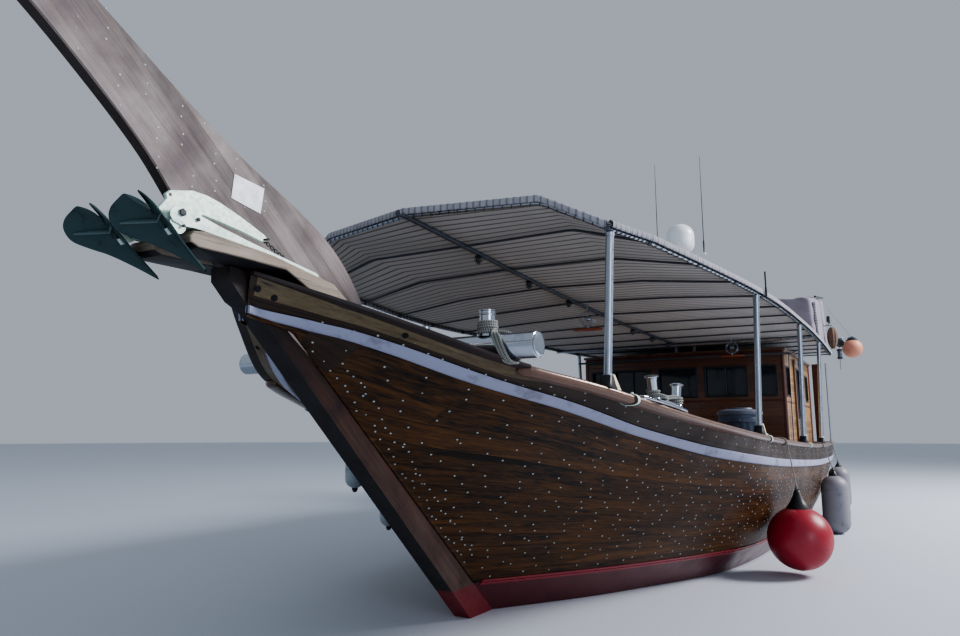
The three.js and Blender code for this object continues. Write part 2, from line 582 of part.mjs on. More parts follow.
// a bar above the doorway carries the sliding door
const door = { lap: 60, thick: 36, clear: 6, travel: 750 };
const track = { z0: 3835, z1: 3865, depth: door.clear + door.thick - 2 };
const trackBar = box(doorway.x0 - door.lap - door.travel - 40, doorway.x1 + door.lap + 40,
  house.half - 10, house.half + track.depth, track.z0, track.z1);
addPair("wheelhouse_side", join(cut(sideWall, deckClear, ...sideHoles, doorHole), trackBar), joinery);
const aftWall = box(house.aft, house.aft + house.wall, -innerHalf + gap, innerHalf - gap, houseFoot, house.roofBottom);
const aftHoles = aftPanes.map(([y0, y1]) => box(house.aft - 50, house.aft + 150, y0, y1, sill, lintel));
add("wheelhouse_aft", cut(aftWall, deckClear, ...aftHoles), joinery);
const roofPlan = new THREE.Shape();
roofPlan.moveTo(-house.half - 60, house.aft - 60);
roofPlan.lineTo(-house.half - 60, house.front + 40);
roofPlan.quadraticCurveTo(0, house.front + 40 + 2 * house.bow, house.half + 60, house.front + 40);
roofPlan.lineTo(house.half + 60, house.aft - 60);
add("wheelhouse_roof", plan(roofPlan, house.roofBottom + gap, house.roofTop), joinery);

// Window glass: one sheet behind each wall's openings
const glassThick = 8;
const paneMargin = 40;
const glassFront = new THREE.Shape();
const glassHalf = 2200;
const glassBow = (y) => house.front - house.wall + house.bow * (1 - (y / house.half) ** 2) - 2;
const glassLine = spread(-glassHalf, glassHalf, 10).map((y) => [y, glassBow(y)]);
glassFront.moveTo(...glassLine[0]);
for (const point of glassLine.slice(1)) glassFront.lineTo(...point);
for (const [y, x] of glassLine.slice().reverse()) glassFront.lineTo(y, x - glassThick);
add("window_glass_front", plan(glassFront, sill - paneMargin, lintel + paneMargin), darkGlass);
add("window_glass_aft", box(house.aft + house.wall + gap, house.aft + house.wall + gap + glassThick,
  -1750, 1750, sill - paneMargin, lintel + paneMargin), darkGlass);

// Sliding doors outside the side walls, each with a tall glazed opening
const doorFace = house.half + door.clear + door.thick;
const doorOutline = box(doorway.x0 - door.lap, doorway.x1 + door.lap, house.half + door.clear,
  doorFace, doorway.foot + 10, doorway.top + door.lap);
const doorLight = box(doorway.x0 + 150, doorway.x1 - 150, house.half - 50, house.half + 150, 2450, 3650);
// two hangers hook over the bar
const hangers = [doorway.x0 + 100, doorway.x1 - 100].flatMap((x) => [
  box(x - 50, x + 50, doorFace - 1, doorFace + 10, doorway.top - 40, track.z1 + gap + 12),
  box(x - 50, x + 50, house.half + door.clear + 4, doorFace + 10, track.z1 + gap, track.z1 + gap + 12),
]);
addPair("side_door", join(cut(doorOutline, doorLight), ...hangers), joinery);

// Mast on the wheelhouse roof: two legs through the awning, a crosstree, a radome and two whip aerials
const mast = { x: -4900, legY: 220, legRadius: 38, sleeve: 6, foot: house.roofTop + gap, top: 6560, reach: 620, whipY: 580 };
const mastLeg = (side, radius) =>
  rod([mast.x, side * mast.legY, mast.foot], [mast.x, side * mast.legY, mast.top - 30], radius, 12);
add("mast", join(
  mastLeg(1, mast.legRadius), mastLeg(-1, mast.legRadius),
  ...[1, -1].map((side) => rod([mast.x, side * mast.legY, mast.foot], [mast.x, side * mast.legY, mast.foot + 14], 90, 16)),
  rod([mast.x, -mast.legY, 5400], [mast.x, mast.legY, 5400], 24, 8),
  box(mast.x - 35, mast.x + 35, -mast.reach, mast.reach, mast.top - 70, mast.top),
  box(mast.x - 170, mast.x + 170, -170, 170, mast.top - 20, mast.top),
  ...[1, -1].flatMap((side) => [
    rod([mast.x, side * mast.whipY, mast.top - 30], [mast.x, side * mast.whipY, mast.top + 300], 22, 8),
    rod([mast.x, side * mast.whipY, mast.top + 290], [mast.x, side * mast.whipY, mast.top + 2500], 11, 8, 5),
  ]),
), stainless);
add("awning_canvas",
  cut(canvasSheet, mastLeg(1, mast.legRadius + mast.sleeve), mastLeg(-1, mast.legRadius + mast.sleeve)), canvas);
const radomeRadius = 345;
add("radome", turned([
  [0, 0], [120, 0], [120, 60], [radomeRadius * 0.7, 60], [radomeRadius * 0.9, 130], [radomeRadius, 240],
  [radomeRadius, 480],
  ...spread(0, Math.PI / 2, 5).slice(1, 5).map((a) => [radomeRadius * Math.cos(a), 480 + 310 * Math.sin(a)]), [0, 790],
], 20).translate(mast.x, 0, mast.top + gap), whiteShell);

// Upper aft deck, wrapped in canvas: a hood standing over the awning
const hood = [
  { x: -10000, half: 2840, top: 6000, crown: 6060 },
  { x: -8200, half: 2850, top: 5740, crown: 5800 },
  { x: -6300, half: 2850, top: 5470, crown: 5520 },
];
const hoodFoot = 4060;
const hoodLean = 60;
const hoodRings = hood.map(({ x, half, top, crown }) => [
  [-half, hoodFoot], [half, hoodFoot], [half - hoodLean, top], [0, crown], [-half + hoodLean, top],
].map(([y, z]) => new THREE.Vector3(x, y, z)));
const canvasBelow = loft(canvasRings(-400, canvasLift + canvasThick + gap));
add("stern_hood", cut(loft(hoodRings), canvasBelow), canvas);

// Stern posts: timber columns that carry the hood's frame at each quarter
const sternPost = { x0: -9960, x1: -9780, y0: 2350, y1: 2530 };
const sternPostSolid = box(sternPost.x0, sternPost.x1, sternPost.y0, sternPost.y1, houseFoot - 20, hoodFoot - gap);
addPair("stern_post", cut(sternPostSolid, deckClear), darkPlanking);

// Lidded bin on the deck amidships
const bin = { x: 1500, y: 2420, foot: 250, width: 310, height: 960 };
const binBody = cut(join(
  new THREE.CylinderGeometry(bin.width, bin.foot, bin.height, 20).rotateX(Math.PI / 2)
    .translate(bin.x, bin.y, deckAt(bin.x) + bin.height / 2 - 20),
  turned([[0, 0], [bin.width + 20, 0], [bin.width + 20, 40], [bin.width * 0.6, 100], [0, 120]], 20)
    .translate(bin.x, bin.y, deckAt(bin.x) + bin.height - 21),
), deckClear);
add("deck_bin", binBody, greyRubber);

// Fenders: each hangs outboard on its lanyard from the cap rail
const lanyardRadius = 11;
// the rail runs straight between two stations, just inside the curve of the sheer
const railChord = (x) => {
  const next = sheerXs.findIndex((station) => station > x);
  const [before, after] = [sheerXs[next - 1], sheerXs[next]];
  return THREE.MathUtils.mapLinear(x, before, after, beamAt(before), beamAt(after));
};
function fender(x, out, z, radius, half, railX) {
  const touch = spread(0, 1.3, 6).flatMap((a) =>
    [-half, half].map((shift) => skinAt(x, z + shift + radius * Math.sin(a)) + radius * Math.cos(a)));
  const knot = railChord(railX) + capOut + lanyardRadius + gap / 3;
  const y = Math.max(...touch, knot - out) + out;
  const body = turned(half ? [
    [0, -half - radius * 0.9], [radius * 0.7, -half - radius * 0.5], [radius, -half], [radius, half],
    [radius * 0.7, half + radius * 0.5], [0, half + radius * 0.9],
  ] : spread(-Math.PI / 2, Math.PI / 2, 10).map((a) => [Math.max(radius * Math.cos(a), 0), radius * Math.sin(a)]), 16);
  const top = z + half + radius * 0.8;
  return join(body.translate(x, y, z), rod([x, y, top], [railX, knot, sheerAt(railX) - capHeight / 3], lanyardRadius, 8));
}
add("fender_ball_port", fender(900, 30, 540, 465, 0, 900), redRubber);
add("fender_1_port", fender(-4400, 12, 600, 270, 350, -4400), greyRubber);
add("fender_2_port", fender(-7900, 12, 720, 250, 300, -7900), greyRubber);
for (const [i, [x, out, z]] of [[4350, 45, 1680], [3300, 12, 1000]].entries()) {
  add(`fender_${i + 1}_starboard`, onSide(fender(x, out, z, 150, 260, x), -1), greyRubber);
}

export default dhow;
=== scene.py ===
# Wooden motor dhow afloat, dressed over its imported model.
# Metres: +X is forward, +Y is port, +Z is up, and the waterline is at z = 0.
import bmesh
import bpy
import numpy as np
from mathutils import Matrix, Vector


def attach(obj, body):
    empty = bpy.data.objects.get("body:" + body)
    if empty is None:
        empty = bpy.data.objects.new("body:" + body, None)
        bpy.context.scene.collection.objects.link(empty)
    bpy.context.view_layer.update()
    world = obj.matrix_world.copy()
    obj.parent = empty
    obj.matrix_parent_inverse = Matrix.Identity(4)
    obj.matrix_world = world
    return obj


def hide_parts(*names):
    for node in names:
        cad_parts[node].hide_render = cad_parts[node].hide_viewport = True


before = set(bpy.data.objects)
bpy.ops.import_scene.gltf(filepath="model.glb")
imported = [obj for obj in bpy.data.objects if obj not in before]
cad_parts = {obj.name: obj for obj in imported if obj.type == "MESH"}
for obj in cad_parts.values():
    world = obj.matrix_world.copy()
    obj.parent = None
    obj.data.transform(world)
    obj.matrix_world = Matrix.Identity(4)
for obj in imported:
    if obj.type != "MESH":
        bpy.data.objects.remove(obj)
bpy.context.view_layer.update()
hull = "boat"  # the body that nearly every piece rides on
boatSides = {"port": 1, "starboard": -1}
upright, abeam, forward = (0, 0, 1), (0, 1, 0), (1, 0, 0)
print("frame loaded")

# Camera: the photograph's place and angle
camera = {
    "place": (13.0, 4.6, 2.1),
    "headingDegrees": 210.4,  # from +X towards +Y
    "pitchDegrees": 9.07,
    "lensMm": 27,
    "sensorMm": 36,
}


def inScene(name, data):
    # puts data into the scene as an object
    thing = bpy.data.objects.new(name, data)
    bpy.context.collection.objects.link(thing)
    return thing


def makeCamera():
    # the look direction is (cos h cos p, sin h cos p, sin p) for heading h and pitch p
    heading, pitch = np.radians([camera["headingDegrees"], camera["pitchDegrees"]])
    look = Vector((np.cos(heading) * np.cos(pitch), np.sin(heading) * np.cos(pitch), np.sin(pitch)))
    data = bpy.data.cameras.new("photo_camera")
    data.lens = camera["lensMm"]
    data.sensor_width = camera["sensorMm"]
    data.clip_end = 500
    eye = inScene("photo_camera", data)
    eye.location = camera["place"]
    eye.rotation_euler = look.to_track_quat("-Z", "Y").to_euler()
    bpy.context.scene.camera = eye


makeCamera()

# Shapes


def zipped(*parts):
    # coordinates side by side on a last axis, from arrays of any shapes that fit each other
    return np.stack(np.broadcast_arrays(*parts), -1).astype(float)


def unit(vectors):
    # each vector divided by its length
    return vectors / np.linalg.norm(vectors, axis=-1, keepdims=True)


def runLength(path):
    # the distance walked along a path up to each of its points
    return np.concatenate([[0], np.cumsum(np.linalg.norm(np.diff(path, axis=0), axis=1))])


def pointsAlong(path, distances):
    # the points at given distances along a path, in straight lines between its own points
    walked = runLength(path)
    return zipped(*[np.interp(distances, walked, path[:, i]) for i in range(path.shape[1])])


def surface(points, uv):
    # a grid of points, rows by columns: each cell is a face
    rows, columns = points.shape[:2]
    corner = (np.arange(rows - 1)[:, None] * columns + np.arange(columns - 1)).ravel()
    faces = np.stack([corner, corner + 1, corner + columns + 1, corner + columns], 1)
    return {"points": points.reshape(-1, 3), "faces": [faces], "uv": uv.reshape(-1, 2)}


def loft(rings, uv=None, caps=True):
    # rings of points, each run round from its first point back to it; each end draws in to its middle
    rings = np.asarray(rings, float)
    if uv is None:
        uv = zipped(runLength(rings.mean(1))[:, None], np.linspace(0, 1, rings.shape[1]))
    if caps:
        ends = [np.broadcast_to(rings[i, :-1].mean(0), rings[i].shape) for i in (0, -1)]
        rings = np.concatenate([[ends[0]], rings, [ends[1]]])
        uv = np.concatenate([uv[:1], uv, uv[-1:]])
    return surface(rings, uv)


def circle(sides=16):
    # a unit circle, (cos a, sin a), closed
    angle = np.linspace(0, 2 * np.pi, sides + 1)
    return np.stack([np.cos(angle), np.sin(angle)], 1)


def boxy(width, height, power, sides=24):
    # a superellipse: |2y / width| ^ power + |2z / height| ^ power = 1
    around = circle(sides)
    return np.sign(around) * np.abs(around) ** (2 / power) * np.array([width / 2, height / 2])


def sweep(path, size=1.0, profile=None, up=upright):
    # a profile carried along a path, square to it: centre + size (side * p + over * q)
    path = np.asarray(path, float)
    profile = circle() if profile is None else profile
    closed = np.allclose(path[0], path[-1])
    if closed:
        tangent = np.gradient(np.concatenate([path[-2:-1], path, path[1:2]]), axis=0)[1:-1]
    else:
        tangent = np.gradient(path, axis=0)
    tangent = unit(tangent)
    side = unit(np.cross(tangent, np.asarray(up, float)))
    over = np.cross(side, tangent)
    size = np.broadcast_to(size, len(path))[:, None, None]
    rings = path[:, None] + size * (side[:, None] * profile[:, :1] + over[:, None] * profile[:, 1:])
    return loft(rings, caps=not closed)


def acrossTo(axis):
    # an axis of length 1, and two directions square to it and to each other
    axis = unit(np.asarray(axis, float))
    side = unit(np.cross(axis, forward if abs(axis[0]) < 0.8 else abeam))
    return axis, side, np.cross(axis, side)


def turned(profile, base=(0, 0, 0), axis=upright, sides=24):
    # a profile of (radius, height) turned about an axis
    profile = np.asarray(profile, float)
    axis, side, over = acrossTo(axis)
    around = circle(sides)
    out = around[:, :1] * side + around[:, 1:] * over
    rings = np.asarray(base) + profile[:, None, 1:] * axis + profile[:, None, :1] * out
    return surface(rings, zipped(np.linspace(0, 1, sides + 1), runLength(profile)[:, None]))


def rod(start, end, radius, sides=16):
    # a straight round bar with its two ends a little rounded
    start, end = np.asarray(start, float), np.asarray(end, float)
    length = np.linalg.norm(end - start)
    soft = min(radius * 0.2, 0.004)
    half = [(0, 0), (radius - soft, 0), (radius, soft)]
    return turned(half + [(r, length - h) for r, h in half[::-1]], start, end - start, sides)


def plate(outline, thick, edge=0.003, origin=(0, 0, 0), along=forward, across=upright):
    # an outline given thickness, its rims rounded by drawing each face in along the corners' mitres
    outline = np.asarray(outline, float)
    along, across = np.asarray(along, float), np.asarray(across, float)
    nextOne = np.roll(outline, -1, 0)
    ahead = unit(nextOne - outline)
    both = ahead + np.roll(ahead, 1, 0)
    turn = np.sign(np.sum(outline[:, 0] * nextOne[:, 1] - nextOne[:, 0] * outline[:, 1]))
    inward = turn * zipped(-both[:, 1], both[:, 0])
    inward /= np.maximum(np.sum(inward**2, 1), 0.4)[:, None] / 2
    rings = []
    for height, draw in ((0, edge), (edge, 0), (thick - edge, 0), (thick, edge)):
        flat = outline + inward * draw
        rings.append(np.asarray(origin) + flat[:, :1] * along + flat[:, 1:] * across
                     + height * np.cross(along, across))
    count = len(outline)
    uv = outline + inward * edge
    closed = np.concatenate([rings, np.array(rings)[:, :1]], 1)
    patch = surface(closed, np.broadcast_to(np.concatenate([uv, uv[:1]]), (4, count + 1, 2)))
    low = np.arange(count)
    patch["faces"] += [low[None, ::-1], low[None, :] + 3 * (count + 1)]
    return patch


def block(low, high, edge=0.004):
    # a squared timber or plate between two corners
    (x0, y0, z0), (x1, y1, z1) = low, high
    return plate([(x0, z0), (x1, z0), (x1, z1), (x0, z1)], y1 - y0, min(edge, (y1 - y0) / 3), (0, y1, 0))


def ringOf(centre, axis, radius, thick, sides=20, section=8):
    # a torus: a small circle carried round a large one
    axis, side, over = acrossTo(axis)
    around = circle(sides)
    path = np.asarray(centre) + radius * (around[:, :1] * side + around[:, 1:] * over)
    return sweep(path, thick, circle(section), up=axis)


def mirrored(patches, side=-1):
    # the same patches on the other side of the boat
    return [{**p, "points": p["points"] * (1, side, 1)} for p in patches]


def smoothPath(points, count):
    # a smooth curve through given points, by their length along the way
    points = np.asarray(points, float)
    walked = runLength(points)
    return cubicThrough(np.column_stack([walked, points]), np.linspace(0, walked[-1], count))


def cubicThrough(table, x):
    # a table of rows (knot, values...): between two knots, the cubic through both rows
    # whose slope at each is that of the line joining the rows either side of it
    table = np.asarray(table, float)
    knots, values = table[:, 0], table[:, 1:]
    x = np.clip(np.asarray(x, float), knots[0], knots[-1])
    last = len(knots) - 2
    i = np.clip(np.searchsorted(knots, x, "right") - 1, 0, last)
    t0, t1 = knots[i], knots[i + 1]
    before = np.where(i == 0, 1, i - 1)
    after = np.where(i == last, last, np.minimum(i + 2, last + 1))
    half = (t1 - t0) / 2
    a = half / (t0 - knots[before])
    b = half / (knots[after] - t1)
    p = (x - t0) / (t1 - t0)
    shares = [-a * p**3 + 2 * a * p**2 - a * p, (1 + a) * p**3 + (-1.5 - 2 * a) * p**2 + (-0.5 + a) * p + 1,
              (-1 - b) * p**3 + (1.5 + b) * p**2 + 0.5 * p, b * p**3 - b * p**2]
    rows = [values[before], values[i], values[i + 1], values[after]]
    return sum(share[..., None] * row for share, row in zip(shares, rows))


def columnsOf(table, x):
    # the same table's values at x, one array for each column
    return np.moveaxis(cubicThrough(table, x), -1, 0)


def makePiece(name, patches, material, body=hull, replaces=(), sharp=38, thick=0.0):
    # all the patches as one mesh: equal points are merged, which closes seams and poles
    starts = np.cumsum([0] + [len(p["points"]) for p in patches])
    faces = [f + start for p, start in zip(patches, starts) for f in p["faces"]]
    corners = np.concatenate([f.ravel() for f in faces]).astype(np.int32)
    sizes = np.concatenate([np.full(len(f), f.shape[1]) for f in faces]).astype(np.int32)
    points, uv = (np.concatenate([p[key] for p in patches]) for key in ("points", "uv"))
    mesh = bpy.data.meshes.new(name)
    mesh.vertices.add(len(points))
    mesh.vertices.foreach_set("co", points.astype(np.float32).ravel())
    mesh.loops.add(len(corners))
    mesh.loops.foreach_set("vertex_index", corners)
    mesh.polygons.add(len(sizes))
    mesh.polygons.foreach_set("loop_start", (np.cumsum(sizes) - sizes).astype(np.int32))
    mesh.polygons.foreach_set("loop_total", sizes)
    mesh.update(calc_edges=True)
    mesh.uv_layers.new(name="UVMap").data.foreach_set("uv", uv[corners].astype(np.float32).ravel())
    work = bmesh.new()
    work.from_mesh(mesh)
    bmesh.ops.remove_doubles(work, verts=work.verts, dist=1e-5)
    bmesh.ops.recalc_face_normals(work, faces=work.faces)
    work.to_mesh(mesh)
    work.free()
    mesh.polygons.foreach_set("use_smooth", np.ones(len(mesh.polygons), bool))
    mesh.set_sharp_from_angle(angle=np.radians(sharp))
    mesh.materials.append(material)
    piece = inScene(name, mesh)
    if thick:
        solid = piece.modifiers.new("cloth thickness", "SOLIDIFY")
        solid.thickness = thick
        solid.offset = 0
    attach(piece, body)
    if replaces:
        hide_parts(*replaces)
    return piece


def makePair(name, patches, material, slot, *nodes):
    # a piece built on the port side, its mirror image, and the nodes that each replaces
    for word, side in boatSides.items():
        makePiece(f"{name}_{word}", mirrored(patches, side), material,
                  replaces=[f"{node}_{word}" for node in nodes])


# Materials


def hexColor(text):
    # sRGB hex to linear light
    c = np.array([int(text[i:i + 2], 16) for i in (1, 3, 5)]) / 255
    linear = np.where(c <= 0.04045, c / 12.92, ((c + 0.055) / 1.055) ** 2.4)
    return (*linear.tolist(), 1.0)


def plug(node, inputs):
    # fills a node's inputs: one that is given a node or a socket is linked, any other is set
    for key, value in inputs.items():
        named = isinstance(key, str)
        socket = next(s for s in node.inputs if s.name == key and s.enabled) if named else node.inputs[key]
        if isinstance(value, bpy.types.Node):
            value = next(s for s in value.outputs if s.enabled)
        if isinstance(value, bpy.types.NodeSocket):
            node.id_data.links.new(value, socket)
        else:
            socket.default_value = hexColor(value) if isinstance(value, str) else value


def addNode(shader, kind, inputs=None, **settings):
    # adds a node beside the shader, with its settings and links
    node = shader.id_data.nodes.new("ShaderNode" + kind)
    for key, value in settings.items():
        setattr(node, key, value)
    plug(node, inputs or {})
    return node


def newMaterial(name, roughness, **sockets):
    # an empty Principled surface, with the numbers that are the same all over it
    material = bpy.data.materials.new(name)
    material.use_nodes = True
    shader = material.node_tree.nodes["Principled BSDF"]
    plug(shader, {"Roughness": roughness, **{key.replace("_", " "): value for key, value in sockets.items()}})
    return material, shader


def timber(name, dark, light, patch, plank, seam, length, grain, roughness, coat=0.0, shine=0.5,
           patchAmount=0.4, patchSize=0.9, source="Object", turn=(0, 0, 0), shift=(0, 0, 0), toneSpread=0.25,
           span=(0.38, 0.95), drawnOut=30, seamColor="#120b07", relief=0.003, darkMark=None, stainAmount=0.0,
           undersideShade=None, darkAbove=None, paintBelow=None, paint=None):
    # Planked wood: widths of plank, seam and grain and the planks' length are in metres. The source's
    # coordinates are moved by shift and turned by turn, which brings the grain along X.
    material, shader = newMaterial(name, roughness, Coat_Weight=coat, Coat_Roughness=0.1,
                                   Specular_IOR_Level=shine)

    coordinates = addNode(shader, "TexCoord").outputs[source]
    laid = addNode(shader, "Mapping", {"Vector": coordinates, "Rotation": turn, "Location": shift})
    part = addNode(shader, "SeparateXYZ", {0: laid})
    # which plank, and how far across it
    planks = addNode(shader, "Math", {0: part.outputs[1], 1: plank}, operation="DIVIDE")
    number = addNode(shader, "Math", {0: planks}, operation="FLOOR")
    within = addNode(shader, "Math", {0: planks}, operation="FRACT")
    offset = addNode(shader, "TexWhiteNoise", {"W": number}, noise_dimensions="1D")
    runs = addNode(shader, "Math", {0: part.outputs[0], 1: 1 / length, 2: offset}, operation="MULTIPLY_ADD")
    run = addNode(shader, "Math", {0: runs}, operation="FLOOR")
    endWithin = addNode(shader, "Math", {0: runs}, operation="FRACT")
    identity = addNode(shader, "CombineXYZ", {0: number, 1: run})
    tone = addNode(shader, "TexWhiteNoise", {"Vector": identity}, noise_dimensions="2D")
    # long grain: noise drawn out along the plank and shifted from plank to plank
    moved = addNode(shader, "VectorMath", {0: identity, 1: (3.7, 11.3, 5.1)}, operation="MULTIPLY")
    moved = addNode(shader, "VectorMath", {0: laid, 1: moved}, operation="ADD")
    drawn = addNode(shader, "VectorMath", {0: moved, 1: (1 / drawnOut, 1, 1)}, operation="MULTIPLY")
    fine = addNode(shader, "TexNoise", {"Vector": drawn, "Scale": 1 / grain, "Detail": 5.0, "Roughness": 0.6})
    figure = addNode(shader, "TexNoise", {"Vector": drawn, "Scale": 0.16 / grain, "Detail": 3.0,
                                          "Distortion": 1.2})
    patches = addNode(shader, "TexNoise", {"Vector": laid, "Scale": 1 / patchSize, "Detail": 4.0})
    mixed = 0.0
    for noise, weight in ((fine, 0.6), (figure, 0.55), (tone, toneSpread)):
        mixed = addNode(shader, "Math", {0: noise, 1: weight, 2: mixed}, operation="MULTIPLY_ADD")
    lightness = addNode(shader, "MapRange", {0: mixed, 1: span[0], 2: span[1]}, clamp=True)
    patched = addNode(shader, "MapRange", {0: patches, 1: 0.5, 2: 0.72, 4: patchAmount}, clamp=True)
    # seams: dark where a plank's edge or end is nearer than the seam's half width
    rooms = []
    for share, size in ((within, plank), (endWithin, length)):
        folded = addNode(shader, "Math", {0: share, 1: 0.5}, operation="PINGPONG")
        rooms.append(addNode(shader, "Math", {0: folded, 1: size}, operation="MULTIPLY"))
    room = addNode(shader, "Math", {0: rooms[0], 1: rooms[1]}, operation="MINIMUM")
    whole = addNode(shader, "MapRange", {0: room, 1: seam * 0.4, 2: seam}, clamp=True)
    # layers from the bare wood up: how much of each, and its two colours, where None is what lies below
    layers = [(lightness, dark, light), (patched, None, patch), (whole, seamColor, None)]
    if darkMark:  # weather stains: blotches drawn along the grain
        blotch = addNode(shader, "TexNoise", {"Vector": drawn, "Scale": 0.5 / grain, "Detail": 6.0,
                                              "Roughness": 0.75})
        amount = addNode(shader, "MapRange", {0: blotch, 1: 0.56, 2: 0.66, 4: stainAmount}, clamp=True)
        layers.append((amount, None, darkMark))
    if undersideShade:  # painted shade: the colour darkens where the face looks down
        facing = addNode(shader, "SeparateXYZ", {0: addNode(shader, "NewGeometry").outputs["Normal"]})
        amount = addNode(shader, "MapRange", {0: facing.outputs[2], 1: -0.15, 2: -0.6}, clamp=True)
        layers.append((amount, None, undersideShade))
    if darkAbove or paint:
        level = addNode(shader, "SeparateXYZ", {0: addNode(shader, "TexCoord").outputs["Object"]}).outputs[2]
    if darkAbove:  # darker upwards from one height to another, in the underside's painted-shade colour
        low, high = darkAbove
        amount = addNode(shader, "MapRange", {0: level, 1: low, 2: high, 4: 0.85}, clamp=True)
        layers.append((amount, None, undersideShade))
    if paint:  # the red bottom is carried over the timber up to the boot top
        wave = addNode(shader, "Math", {0: patches, 1: 0.02, 2: level}, operation="MULTIPLY_ADD")
        edge = {0: wave, 1: paintBelow + 0.013, 2: paintBelow + 0.008}
        amount = addNode(shader, "MapRange", edge, clamp=True)
        layers.append((amount, None, paint))
    color = None
    for amount, low, high in layers:
        mixed = {"Factor": amount, 6: low or color, 7: high or color}
        color = addNode(shader, "Mix", mixed, data_type="RGBA")
    rough = addNode(shader, "MapRange", {0: patches, 1: 0.3, 2: 0.7, 3: roughness * 0.75, 4: roughness * 1.3})
    height = addNode(shader, "Math", {0: fine, 1: 0.25, 2: whole}, operation="MULTIPLY_ADD")
    bump = addNode(shader, "Bump", {"Height": height, "Distance": relief, "Strength": 0.7})
    plug(shader, {"Base Color": color, "Roughness": rough, "Normal": bump})
    return material


def finish(name, color, worn, roughness, spot, metallic=0.0, coat=0.0, wearFrom=0.56, wearAmount=0.5,
           relief=0.0006):
    # A coat or a metal skin: how much of the worn colour shows in spots of a size in metres.
    material, shader = newMaterial(name, roughness, Metallic=metallic, Coat_Weight=coat, Coat_Roughness=0.08)
    place = addNode(shader, "TexCoord").outputs["Object"]
    spots = addNode(shader, "TexNoise",
                    {"Vector": place, "Scale": 1 / spot, "Detail": 6.0, "Roughness": 0.65})
    fine = addNode(shader, "TexNoise", {"Vector": place, "Scale": 8 / spot, "Detail": 3.0})
    wear = addNode(shader, "MapRange", {0: spots, 1: wearFrom, 2: wearFrom + 0.14, 4: wearAmount}, clamp=True)
    mixed = addNode(shader, "Mix", {"Factor": wear, 6: color, 7: worn}, data_type="RGBA")
    rough = addNode(shader, "MapRange", {0: spots, 1: 0.3, 2: 0.7, 3: roughness * 0.7, 4: roughness * 1.4})
    bump = addNode(shader, "Bump", {"Height": fine, "Distance": relief, "Strength": 0.5})
    plug(shader, {"Base Color": mixed, "Roughness": rough, "Normal": bump})
    return material


def cloth(name, color, line, grime, stripe, stripeWidth, cloud, grimeAmount):
    # Woven canvas on its piece's UV, in metres: a thread each way, stripes across the length, and
    # grime in large soft clouds. The thread is drawn at 4 mm, as the real 0.6 mm is too fine to show.
    material, shader = newMaterial(name, 0.85, Sheen_Weight=0.25, Sheen_Roughness=0.5)
    place = addNode(shader, "TexCoord").outputs["UV"]
    part = addNode(shader, "SeparateXYZ", {0: place})
    threads = []
    for axis in (0, 1):
        phase = addNode(shader, "Math", {0: part.outputs[axis], 1: 2 * np.pi / 0.004}, operation="MULTIPLY")
        threads.append(addNode(shader, "Math", {0: phase}, operation="SINE"))
    weave = addNode(shader, "Math", {0: threads[0], 1: threads[1]}, operation="MULTIPLY")
    turns = addNode(shader, "Math", {0: part.outputs[0], 1: 1 / stripe}, operation="MULTIPLY")
    turns = addNode(shader, "Math", {0: turns}, operation="FRACT")
    striped = addNode(shader, "MapRange", {0: turns, 1: stripeWidth, 2: stripeWidth + 0.08}, clamp=True)
    clouds = addNode(shader, "TexNoise",
                     {"Vector": place, "Scale": 1 / cloud, "Detail": 6.0, "Roughness": 0.6})
    dirty = addNode(shader, "MapRange", {0: clouds, 1: 0.42, 2: 0.68, 4: grimeAmount}, clamp=True)
    mixed = addNode(shader, "Mix", {"Factor": striped, 6: line, 7: color}, data_type="RGBA")
    mixed = addNode(shader, "Mix", {"Factor": dirty, 6: mixed, 7: grime}, data_type="RGBA")
    height = addNode(shader, "Math", {0: clouds, 1: 0.8, 2: weave}, operation="MULTIPLY_ADD")
    bump = addNode(shader, "Bump", {"Height": height, "Distance": 0.0008, "Strength": 0.5})
    plug(shader, {"Base Color": mixed, "Normal": bump})
    return material


def ropeFibre():
    # Three-strand polyester: slanting strands on the rope's own UV (metres along, turn round)
    material, shader = newMaterial("laid polyester rope", 0.75, Sheen_Weight=0.2)
    part = addNode(shader, "SeparateXYZ", {0: addNode(shader, "TexCoord").outputs["UV"]})
    lay = addNode(shader, "Math", {0: part.outputs[0], 1: 1 / 0.02, 2: part.outputs[1]},
                  operation="MULTIPLY_ADD")
    strand = addNode(shader, "Math", {0: lay, 1: 0.5}, operation="PINGPONG")
    # the colour darkens into the grooves between the strands: painted shade
    color = addNode(shader, "Mix", {"Factor": strand, 6: "#55564f", 7: "#d6d6cf"}, data_type="RGBA")
    bump = addNode(shader, "Bump", {"Height": strand, "Distance": 0.006})
    plug(shader, {"Base Color": color, "Normal": bump})
    return material


def tintedGlass(name, tint, clear):
    # Float glass, smoke-tinted: a dark mirror that lets a little of the room through
    material, shader = newMaterial(name, 0.04, IOR=1.52, Transmission_Weight=clear)
    place = addNode(shader, "TexCoord").outputs["Object"]
    film = addNode(shader, "TexNoise", {"Vector": place, "Scale": 1 / 0.6, "Detail": 4.0})
    color = addNode(shader, "Mix", {"Factor": film, 6: tint, 7: "#26323d"}, data_type="RGBA")
    rough = addNode(shader, "MapRange", {0: film, 3: 0.02, 4: 0.1})
    plug(shader, {"Base Color": color, "Roughness": rough})
    return material


# Each wood below is a tropical hardwood; what differs is its age and its coat, and in some a painted shade.
# After the name come the dark, light and patch colours, the plank's width, the seam's width, the plank's
# length, the grain's width and the roughness.
# Hull planks under many coats of varnish: dark, glossy, with orange where the coat is thin.
varnishedPlank = timber(
    "varnished hull planking", "#090504", "#70471e", "#61401d", 0.16, 0.003, 5.5, 0.012, 0.48, coat=0.05,
    shine=0.22, patchAmount=0.3, patchSize=1.3, span=(0.5, 0.92), source="UV", toneSpread=0.12, relief=0.002,
    darkMark="#070504", stainAmount=0.8, drawnOut=11)
